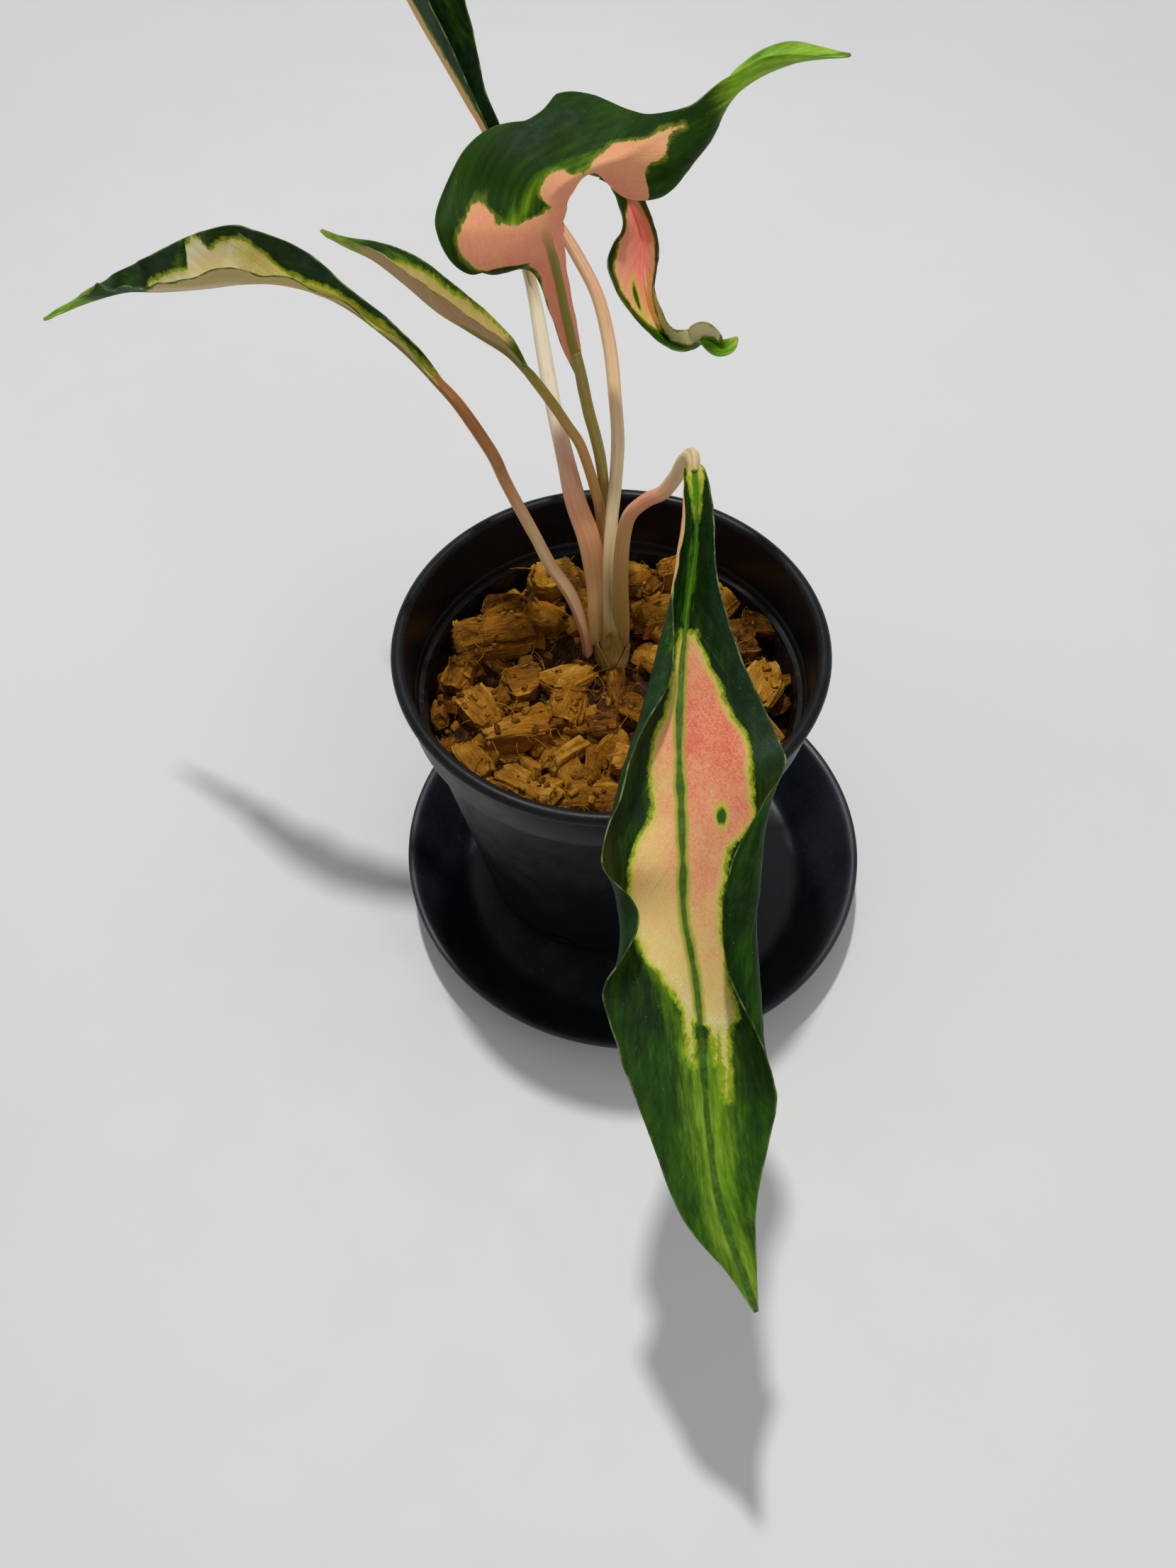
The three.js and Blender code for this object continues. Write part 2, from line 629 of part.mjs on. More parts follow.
// Every piece as a named mesh
function buildModel() {
  const model = new THREE.Group();
  const potted = new THREE.Group();
  potted.position.set(...POT_OFFSET);
  model.add(potted);

  const addMesh = (parent, name, geometry, material) => {
    const mesh = new THREE.Mesh(geometry, material);
    mesh.name = name;
    parent.add(mesh);
  };

  addMesh(model, 'saucer', saucerGeometry(), finish(COLOURS.saucer, 0.35));
  addMesh(potted, 'pot', potGeometry(), finish(COLOURS.pot, 0.4));

  const { fill, chips } = huskPieces();
  addMesh(potted, 'husk_fill', toGeometry(fill), finish(COLOURS.husk, 0.95));
  chips.forEach((chip, index) => {
    const name = `husk_chip_${String(index + 1).padStart(2, '0')}`;
    addMesh(potted, name, toGeometry(chip), finish(COLOURS.chip, 0.95));
  });

  addMesh(potted, 'cane_and_roots', caneGeometry(), finish(COLOURS.cane, 0.6));

  const blades = {
    front: [FRONT_BLADE, COLOURS.blade, COLOURS.stalk],
    left: [LEFT_BLADE, COLOURS.blade, COLOURS.pinkStalk],
    left_small: [SMALL_LEFT_BLADE, COLOURS.paleBlade, COLOURS.pinkStalk],
    centre: [CENTRE_BLADE, COLOURS.blade, COLOURS.pinkStalk],
    right: [RIGHT_BLADE, COLOURS.blade, COLOURS.stalk],
    back: [BACK_BLADE, COLOURS.blade, COLOURS.stalk],
  };
  Object.entries(blades).forEach(([name, [blade, bladeColour, stalkColour]]) => {
    addMesh(potted, `stalk_${name}`, stalkGeometry(STALKS[name], blade), finish(stalkColour, 0.5));
    addMesh(potted, `blade_${name}`, bladeGeometry(blade), finish(bladeColour, 0.45));
  });
  return model;
}

export default buildModel();
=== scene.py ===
"""Looks of a young potted aroid: six narrow, twisted pink and green leaves in a black
nursery pot of coconut husk chips, on a round saucer. Lengths in the tables are
millimetres in the pot's frame, whose axis is x = y = 0 with the table at z = 0."""

import math
import random

import bpy
import numpy as np
from mathutils import Matrix, Vector, noise
from mathutils.bvhtree import BVHTree


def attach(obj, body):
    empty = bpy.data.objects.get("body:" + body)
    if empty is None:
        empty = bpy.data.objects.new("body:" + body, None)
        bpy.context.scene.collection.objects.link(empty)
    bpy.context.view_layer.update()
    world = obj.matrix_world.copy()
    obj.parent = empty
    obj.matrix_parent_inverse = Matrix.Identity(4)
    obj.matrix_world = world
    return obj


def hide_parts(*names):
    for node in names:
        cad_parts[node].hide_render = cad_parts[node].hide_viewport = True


MM = 0.001
POT_OFFSET = Vector((-7.5, 6.5, 0.0))
SEED = 41

# Camera, matched to the photograph's portrait frame
FOCAL_PIXELS = 1661
FRAME_HEIGHT_PIXELS = 2212
SENSOR_MM = 36.0
CLIP_START = 0.01
CAMERA_AT = (-14.4, -208.0, 352.0)
CAMERA_PITCH = 55.5
CAMERA_ROLL = -1.0

# Saucer and pot, as radius and height profiles
SAUCER_PROFILE = [
    (0, 0.2), (20, 0.2), (53.5, 0.2), (54.2, 0.0), (55.6, 0.0), (56.4, 0.4), (59.5, 1.8),
    (66.5, 9.4), (72.6, 16.2), (73.6, 16.7), (74.3, 17.2), (74.5, 17.8), (74.2, 18.3),
    (73.6, 18.5), (72.6, 18.4), (71.6, 18.0), (70.6, 17.2), (64.5, 10.6), (58.8, 4.6),
    (57.4, 3.4), (56, 2.75), (54, 2.6), (30, 2.6), (0, 2.6),
]
POT_PROFILE = [
    (0, 2.9), (38, 2.9), (40.6, 3.0), (41.6, 3.6), (42.1, 4.6), (43.0, 11.0), (54.6, 91.2),
    (55.0, 92.6), (55.6, 93.2), (57.0, 93.5), (57.35, 94.2), (57.5, 96), (58.0, 105.8),
    (58.5, 106.7), (59.3, 107.2), (59.9, 108.1), (60.0, 109.0), (59.6, 109.9), (58.7, 110.4),
    (57.8, 110.5), (56.9, 110.2), (56.3, 109.5), (56.1, 108.6), (55.6, 94), (55.4, 92.2),
    (55.0, 91.3), (54.0, 91.0), (53.2, 90.6), (52.9, 89.6), (52.4, 86), (41.8, 11.0),
    (41.1, 6.4), (39.6, 5.4), (36, 5.3), (0, 5.3),
]
TURNED_SEGMENTS = 160
SHARP_ANGLE = math.radians(40)
# The profile's point where the inner side starts
POT_INSIDE_FROM = 22
DRAIN_SLOTS = 8
SLOT_SEGMENTS = 4
DRAIN_SLOT_TOP = 11.0

# Blade rows: x, y, z of the midrib, twist of the blade about it in degrees, then for
# the right half and for the left half the width, the fold up from flat and the curl.
FRONT_BLADE = {
    "side": (-1, 0, 0),
    "rows": [
        (19, 3, 168, 0, 2, 20, 10, 2, 20, 10),
        (19, -15, 163, 0, 7, 25, 105, 6, 50, 20),
        (16, -33, 156, 0, 10, 45, 65, 10, 35, 15),
        (14, -49, 150, 0, 15, 15, 200, 16, 20, 15),
        (13, -64, 145, 0, 18, 15, 120, 22, 10, 10),
        (13, -77, 140, 0, 22, 0, 120, 27, -5, 140),
        (13, -87, 135, 0, 23, 20, 60, 29, -5, 210),
        (13, -96, 130, 0, 24, -5, 180, 29, 5, 210),
        (15, -108, 124, 0, 22, 15, 30, 25.5, 10, 195),
        (16, -121, 117, 0, 18, 15, 10, 18, 5, 110),
        (17, -135, 108, 0, 12.5, 15, 0, 13.5, 0, 10),
        (19, -148, 100, 0, 8.5, 10, 0, 8, 5, 0),
        (23, -159, 93, 0, 3, 0, 0, 3.5, 0, 0),
        (26, -167, 89, 0, 0.4, 0, 0, 0.4, 0, 0),
    ],
}
LEFT_BLADE = {
    "side": (0, 1, 0),
    "rows": [
        (-36.8, 26.8, 166, 50, 2, 30, 0, 2, 75, 0),
        (-49, 32, 178.5, 50, 3, 30, 0, 3.5, 75, 0),
        (-63, 37.5, 187.5, 50, 4.2, 30, 5, 6, 75, 0),
        (-76, 43, 189, 50, 9.3, 30, 10, 10, 75, 0),
        (-87, 46.5, 187.5, 50, 12.6, 30, 10, 12, 73, 0),
        (-99, 52, 183, 50, 11.8, 30, 15, 12, 75, 0),
        (-112, 58, 178.5, 50, 8.7, 28, 10, 9.5, 75, 0),
        (-124, 64.5, 174.5, 50, 5, 25, 10, 6.5, 75, 0),
        (-138, 71, 167.5, 50, 2.6, 20, 0, 3.5, 70, 0),
        (-155, 78, 158, 50, 0.4, 0, 0, 0.4, 0, 0),
    ],
}
SMALL_LEFT_BLADE = {
    "side": (0, 1, 0),
    "rows": [
        (-19, 35, 168, 38, 2, 20, 0, 2, 90, 0),
        (-25, 42, 170, 38, 3.4, 15, 10, 4, 100, 0),
        (-34, 52, 169, 38, 6.2, 10, 20, 6.5, 100, 0),
        (-44, 63, 168, 38, 8, 10, 20, 8, 100, 0),
        (-54, 75, 169, 38, 7.5, 10, 20, 7, 100, 0),
        (-63, 86, 169, 38, 5, 10, 10, 4.5, 98, 0),
        (-73, 97, 167, 38, 2.3, 10, 0, 2, 80, 0),
        (-80, 106, 166, 38, 0.4, 0, 0, 0.4, 0, 0),
    ],
}
CENTRE_BLADE = {
    "side": (-1, 0, 0),
    "rows": [
        (-6.4, 34, 166, -5, 2.5, 20, 0, 2.5, 60, 0),
        (-10, 37, 184, -5, 4.5, 30, 10, 4.5, 65, 10),
        (-12, 39.5, 194.5, -5, 7, 20, 15, 7, 64, 10),
        (-13.3, 40.3, 199, -3, 17, -15, 25, 8.5, 62, 10),
        (-14, 41, 203, 0, 25, -12, 20, 7.2, 60, 10),
        (-13.2, 43.5, 208, 25, 23, -12, 5, 5.5, 66, 15),
        (-9.8, 45, 211, 45, 18.5, -12, 0, 4.6, 100, 10),
        (-3.5, 46.5, 213.5, 45, 22, -10, 15, 4.4, 125, 10),
        (4, 49, 215, 45, 21, -5, 20, 12.5, 60, 70),
        (11, 51, 218, 35, 7, 0, 20, 14, 5, 140),
        (19, 54, 220, 0, 3, -10, 10, 9.5, -5, 130),
        (27, 58, 223, -50, 5, 0, 10, 9, 10, 80),
        (34, 63, 225, -90, 6, 20, 20, 8, 10, 60),
        (42, 67, 226, -115, 5, 20, 30, 6, 10, 60),
        (49, 69, 226, -125, 2.5, 20, 0, 3, 10, 30),
        (55, 70, 226, -130, 0.4, 0, 0, 0.4, 0, 0),
    ],
}
RIGHT_BLADE = {
    "side": (0, -1, 0),
    "rows": [
        (-14, 97, 175, -70, 2, 60, 0, 2, 60, 0),
        (-10.5, 109, 180, -80, 4, 42, 0, 4, 65, 0),
        (-2, 114, 178, -100, 8, 50, 10, 9, 50, 10),
        (5, 111, 174, -115, 9, 68, 10, 11, 50, 10),
        (9, 104, 169, -118, 10, 70, 10, 10, 55, 20),
        (11, 99, 164, -120, 12, 58, 20, 11, 55, 20),
        (11, 92, 158, -120, 14, 50, 20, 12, 50, 30),
        (13, 84, 153, -120, 12, 50, 40, 8, 60, 20),
        (18, 76, 149, -120, 6, 55, 20, 5, 55, 20),
        (24, 71, 150, -120, 5, 50, 10, 5, 40, 10),
        (28, 69, 154, -120, 4, 50, 10, 5, 50, 10),
        (32, 65, 154, -120, 4, 40, 10, 3, 40, 10),
        (36, 67, 156, -120, 0.4, 0, 0, 0.4, 0, 0),
    ],
}
BACK_BLADE = {
    "side": (0, 1, 0),
    "rows": [
        (-19, 74, 164, 70, 2, 40, 0, 2, 80, 0),
        (-24.8, 84, 186, 70, 3, 40, 0, 3, 90, 0),
        (-29.8, 91, 198, 70, 5, 40, 0, 4.5, 95, 0),
        (-34.8, 96, 205, 70, 6.5, 40, 0, 7, 100, 0),
        (-40.8, 102, 213, 70, 12, 40, 0, 10, 100, 0),
        (-45.8, 108, 219, 70, 16, 35, 10, 14, 100, 0),
        (-50.8, 115, 225, 70, 19, 30, 10, 17, 95, 0),
        (-57, 123, 231, 68, 19, 25, 10, 17, 90, 0),
        (-65, 131, 234, 64, 15, 20, 10, 14, 80, 0),
        (-75, 138, 234, 60, 9, 20, 0, 9, 60, 0),
        (-87, 144, 229, 60, 0.4, 0, 0, 0.4, 0, 0),
    ],
}

# Stalk centre lines with the radius at each place
STALKS = {
    "front": [
        (3.9, 11.5, 95.3, 1.9), (3.8, 11.4, 98, 1.9), (3.7, 11.4, 104, 1.9), (3, 10.8, 124, 1.9),
        (3.4, 10.2, 138, 1.9), (5, 9.6, 146, 1.9), (8.5, 9.2, 150.5, 1.9), (12.8, 8.8, 153.6, 1.9),
        (15.6, 8.6, 158.5, 1.9), (17.4, 7.6, 164.2, 1.9), (18.5, 5.4, 167.6, 1.8),
        (19, 3, 168, 1.6), (19, 0, 167.2, 1.2),
    ],
    "left": [
        (-6.2, 10.8, 91.5, 1.6), (-6.4, 11, 94.5, 1.6), (-7.2, 11.8, 101, 1.7), (-10.8, 15, 111, 1.7),
        (-15.9, 17.6, 119.7, 1.7), (-19.6, 20, 128, 1.6), (-23.4, 22, 136.3, 1.6), (-27, 24.5, 144, 1.6),
        (-30, 25.6, 152.5, 1.6), (-36.8, 26.8, 166, 1.5), (-43, 29.5, 173, 1.2),
    ],
    "left_small": [
        (-0.9, 14.2, 95.3, 1.4), (-0.9, 14.5, 98, 1.4), (-1, 15.4, 104, 1.4), (-1.3, 20.5, 116, 1.4),
        (-2, 26, 127, 1.4), (-3.2, 28, 135.5, 1.4), (-7, 30, 149.7, 1.35), (-10.6, 31, 156.4, 1.3),
        (-14.4, 32.4, 162.4, 1.3), (-19, 35, 168, 1.2), (-22, 38.5, 169.5, 0.9),
    ],
    "centre": [
        (2.4, 15.8, 95.3, 1.4), (2.3, 16.4, 98, 1.4), (2, 19, 104, 1.4), (1, 25, 114, 1.4),
        (-0.3, 29.8, 125, 1.4), (-1.8, 32.2, 141.6, 1.5), (-3.2, 33, 150.1, 1.5),
        (-5.1, 33.8, 158.3, 1.5), (-6.4, 34, 166, 1.5), (-8, 35.3, 175, 1.2),
    ],
    "right": [
        (0.3, 9.9, 95.3, 1.7), (0.2, 10, 98, 1.7), (0.1, 11, 105, 1.7), (0, 16, 121, 1.7),
        (0.6, 22, 130.7, 1.7), (1.9, 30, 138.4, 1.75), (2.7, 40, 144.3, 1.8), (2.2, 50, 150.3, 1.8),
        (1, 63, 156.9, 1.8), (-2, 75, 163.9, 1.75), (-7.5, 86, 169.4, 1.7), (-14, 97, 175, 1.4),
        (-13.8, 103, 177.8, 1.1),
    ],
    "back": [
        (-3.1, 11.8, 95.3, 1.9), (-3.1, 12, 98, 2), (-3.3, 13, 105, 2.1), (-3.6, 16.5, 115, 2.3),
        (-5.7, 21, 126.7, 2.4), (-8.9, 27, 133.9, 2.4), (-11, 34, 140, 2.3), (-12.9, 42, 145.4, 2.2),
        (-14.9, 51, 150.6, 2.1), (-17, 63, 157, 2), (-19, 74, 164, 1.8), (-21.5, 79, 174.5, 1.4),
    ],
}

bpy.context.scene.view_settings.view_transform = "Standard"
# Noise as a vector takes its seed from the clock unless one is set
noise.seed_set(SEED)
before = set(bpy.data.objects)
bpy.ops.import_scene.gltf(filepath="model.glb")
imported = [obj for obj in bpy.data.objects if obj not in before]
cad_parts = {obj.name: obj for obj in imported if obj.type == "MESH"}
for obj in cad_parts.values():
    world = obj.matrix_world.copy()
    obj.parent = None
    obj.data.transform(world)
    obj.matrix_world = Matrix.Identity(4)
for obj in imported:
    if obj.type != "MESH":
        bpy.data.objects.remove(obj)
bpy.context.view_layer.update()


def smooth_row(rows, t):
    """Every column of the rows at t from 0 to 1, on a smooth curve through them."""
    spans = len(rows) - 1
    along = min(max(t, 0.0), 1.0) * spans
    index = min(int(along), spans - 1)
    part = along - index
    start, end = rows[index], rows[index + 1]
    before = rows[index - 1] if index > 0 else 2 * start - end
    after = rows[index + 2] if index + 2 <= spans else 2 * end - start
    slope = end - before
    bend = 2 * before - 5 * start + 4 * end - after
    twist = 3 * start - before - 3 * end + after
    return 0.5 * (2 * start + slope * part + bend * part**2 + twist * part**3)


def unit(vector):
    """The vector at length 1."""
    return vector / np.linalg.norm(vector)


def link_object(name, mesh, materials):
    """A mesh as an object that is part of the plant."""
    piece = bpy.data.objects.new(name, mesh)
    bpy.context.scene.collection.objects.link(piece)
    for material in materials:
        mesh.materials.append(material)
    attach(piece, "root")
    return piece


def new_mesh(name, points, faces, offset=POT_OFFSET):
    """A smooth mesh from points in millimetres of the pot's frame, or of another."""
    mesh = bpy.data.meshes.new(name)
    shifted = (np.array([tuple(point) for point in points], dtype=float) + np.array(offset)) * MM
    mesh.from_pydata([tuple(point) for point in shifted], [], faces)
    mesh.validate()
    mesh.polygons.foreach_set("use_smooth", [True] * len(mesh.polygons))
    mesh.update()
    return mesh


def add_values(mesh, name, values):
    """One number per vertex, for a material to read."""
    layer = mesh.attributes.new(name, "FLOAT", "POINT")
    layer.data.foreach_set("value", [float(value) for value in values])


def add_vectors(mesh, name, vectors):
    """One vector per vertex, for a material to read."""
    layer = mesh.attributes.new(name, "FLOAT_VECTOR", "POINT")
    layer.data.foreach_set("vector", np.asarray(vectors, dtype=float).ravel().tolist())


def screen_colour(red, green, blue):
    """A colour given as 0 to 255 screen values, as linear light."""
    linear = []
    for value in (red, green, blue):
        share = value / 255
        linear.append(share / 12.92 if share <= 0.04045 else ((share + 0.055) / 1.055) ** 2.4)
    return (*linear, 1.0)


def turned_rings(profile, segments):
    """Ring points of a profile turned about the upright axis; a zero radius is a point."""
    angles = np.linspace(0, 2 * np.pi, segments, endpoint=False)
    points, rings = [], []
    for radius, height in profile:
        start = len(points)
        if radius == 0:
            points.append((0.0, 0.0, height))
            rings.append([start] * segments)
        else:
            points += [(radius * math.cos(a), radius * math.sin(a), height) for a in angles]
            rings.append(list(range(start, start + segments)))
    return points, rings


def even_rings(count, around, start=0):
    """Rings with the same number of points, one after the other."""
    return [list(range(start + ring * around, start + (ring + 1) * around)) for ring in range(count)]


def join_rings(rings, skip=lambda ring, column: False):
    """Faces between successive rings, as triangles where a ring is a point."""
    faces = []
    for index in range(len(rings) - 1):
        lower, upper = rings[index], rings[index + 1]
        count = len(lower)
        for j in range(count):
            k = (j + 1) % count
            if skip(index, j):
                continue
            corners = [lower[j], lower[k], upper[k], upper[j]]
            faces.append(tuple(corner for n, corner in enumerate(corners) if corner != corners[n - 1]))
    return faces


def closed_tube(count, around):
    """Faces between rings, with the first and the last ring closed."""
    rings = even_rings(count, around)
    return join_rings(rings) + [tuple(reversed(rings[0])), tuple(rings[-1])]


def merge_parts(parts):
    """Several lists of points and faces as one."""
    points, faces = [], []
    for more_points, more_faces in parts:
        start = len(points)
        points += list(more_points)
        faces += [tuple(start + corner for corner in face) for face in more_faces]
    return points, faces


class Finish:
    """One material built from nodes. Each method gives back a socket for the next."""

    def __init__(self, name):
        self.material = bpy.data.materials.new(name)
        self.material.use_nodes = True
        self.tree = self.material.node_tree
        self.surface = self.tree.nodes["Principled BSDF"]

    def feed(self, socket, value):
        """Links a socket to another, or sets it to a plain value."""
        if isinstance(value, bpy.types.NodeSocket):
            self.tree.links.new(value, socket)
        else:
            socket.default_value = value

    def node(self, kind, values=(), **settings):
        """A new node with its first inputs fed and its settings set."""
        made = self.tree.nodes.new("ShaderNode" + kind)
        for key, setting in settings.items():
            setattr(made, key, setting)
        for index, value in enumerate(values):
            if value is not None:
                self.feed(made.inputs[index], value)
        return made

    def number(self, name):
        """A number that the mesh holds at each point."""
        return self.node("Attribute", attribute_name=name).outputs["Fac"]

    def vector(self, name):
        """A vector that the mesh holds at each point."""
        return self.node("Attribute", attribute_name=name).outputs["Vector"]

    def maths(self, operation, *values):
        return self.node("Math", values, operation=operation).outputs[0]

    def scaled(self, vector, x, y, z):
        """A vector with each part multiplied."""
        return self.node("VectorMath", (vector, (x, y, z)), operation="MULTIPLY").outputs[0]

    def span(self, value, low, high, start=0.0, end=1.0):
        """Start where value is at low or under, end at high or over, eased between."""
        made = self.node("MapRange", (value, low, high, start, end), interpolation_type="SMOOTHSTEP")
        return made.outputs[0]

    def noise(self, vector, scale, detail=2.0, roughness=0.5, distortion=0.0):
        made = self.node("TexNoise")
        self.feed(made.inputs["Vector"], vector)
        made.inputs["Scale"].default_value = scale
        made.inputs["Detail"].default_value = detail
        made.inputs["Roughness"].default_value = roughness
        made.inputs["Distortion"].default_value = distortion
        return made.outputs["Fac"]

    def cells(self, vector, scale):
        """Distance from the nearest of some scattered points."""
        made = self.node("TexVoronoi")
        self.feed(made.inputs["Vector"], vector)
        made.inputs["Scale"].default_value = scale
        return made.outputs["Distance"]

    def ramp(self, factor, stops):
        """Colour by factor; a stop is a place from 0 to 1 and a screen colour."""
        made = self.node("ValToRGB", (factor,))
        elements = made.color_ramp.elements
        while len(elements) < len(stops):
            elements.new(0.5)
        for element, (place, colour) in zip(elements, stops):
            element.position = place
            element.color = screen_colour(*colour)
        return made.outputs["Color"]

    def mix(self, factor, first, second):
        """The first colour at factor 0, the second at 1."""
        made = self.node("Mix", data_type="RGBA")
        self.feed(made.inputs[0], factor)
        for index, colour in ((6, first), (7, second)):
            self.feed(made.inputs[index], screen_colour(*colour) if isinstance(colour, tuple) else colour)
        return made.outputs[2]

    def bump(self, height, distance, strength=1.0, normal=None):
        """A normal that follows a height, over another normal where one is given."""
        made = self.node("Bump")
        made.inputs["Strength"].default_value = strength
        made.inputs["Distance"].default_value = distance * MM
        self.feed(made.inputs["Height"], height)
        if normal is not None:
            self.feed(made.inputs["Normal"], normal)
        return made.outputs["Normal"]

    def done(self, colour, roughness, normal=None, **constants):
        """Feeds the surface, sets its other sockets and gives back the material."""
        self.feed(self.surface.inputs["Base Color"], colour)
        self.feed(self.surface.inputs["Roughness"], roughness)
        if normal is not None:
            self.feed(self.surface.inputs["Normal"], normal)
        for name, value in constants.items():
            self.surface.inputs[name.replace("_", " ")].default_value = value
        return self.material


FULL_WIDTH = 30


def whole_width(start, end):
    """One band across the whole blade between two places along it."""
    return [[(start, -FULL_WIDTH, FULL_WIDTH), (end, -FULL_WIDTH, FULL_WIDTH)]]


# Markings of the blades. A band's rows are the place along the midrib, then the band's
# two edges across it, in millimetres; across is above zero on the right half.
# A "tone" row is the place along, then the tone at the left margin, at the midrib (on
# its left and on its right, where two are given) and at the right margin, from 0 for
# deep rose to 1 for near white. A "border" row is the place along, then the width of
# the green strip kept along the left and the right margin.
FRONT_TONE = [
    (0, 0.3, 0.45, 0.45, 0.3), (44, 0.35, 0.42, 0.55, 0.6), (60, 0.1, 0.18, 0.42, 0.62),
    (74, 0.06, 0.14, 0.38, 0.6), (86, 0.2, 0.28, 0.44, 0.62), (97, 0.36, 0.42, 0.54, 0.68),
    (108, 0.46, 0.5, 0.62, 0.76), (122, 0.64, 0.66, 0.78, 0.88), (134, 0.8, 0.85, 0.9, 0.9),
]
FRONT_PALE = [
    (44, -2.6, 1.0), (48, -4.5, 1.7), (52, -6, 1.8), (56, -8.5, 2), (60, -9.4, 2.2),
    (64, -11.4, 3), (67, -13.5, 4.8), (70, -14.6, 6.2), (75, -15.2, 6.6), (80, -15.2, 6.2),
    (84, -15.6, 5.8), (86, -16, 6.5), (88, -15, 7.4), (90, -13, 9.3), (93, -9.6, 11.2),
    (97, -9, 12.5), (102, -7.8, 12), (108, -7.4, 11), (113, -7.1, 10.2), (115.5, -7, 9.6),
    (117, -6.8, 8), (121, -6.6, 6.2), (124, -7, 4.8), (126.5, -7.7, 3), (129, -8, 1), (131, -6, -3),
]
CENTRE_TONE = [(0, 0.05, 0.15, 0.1), (30, 0.1, 0.25, 0.15), (45, 0.3, 0.45, 0.4), (75, 0.3, 0.5, 0.35)]
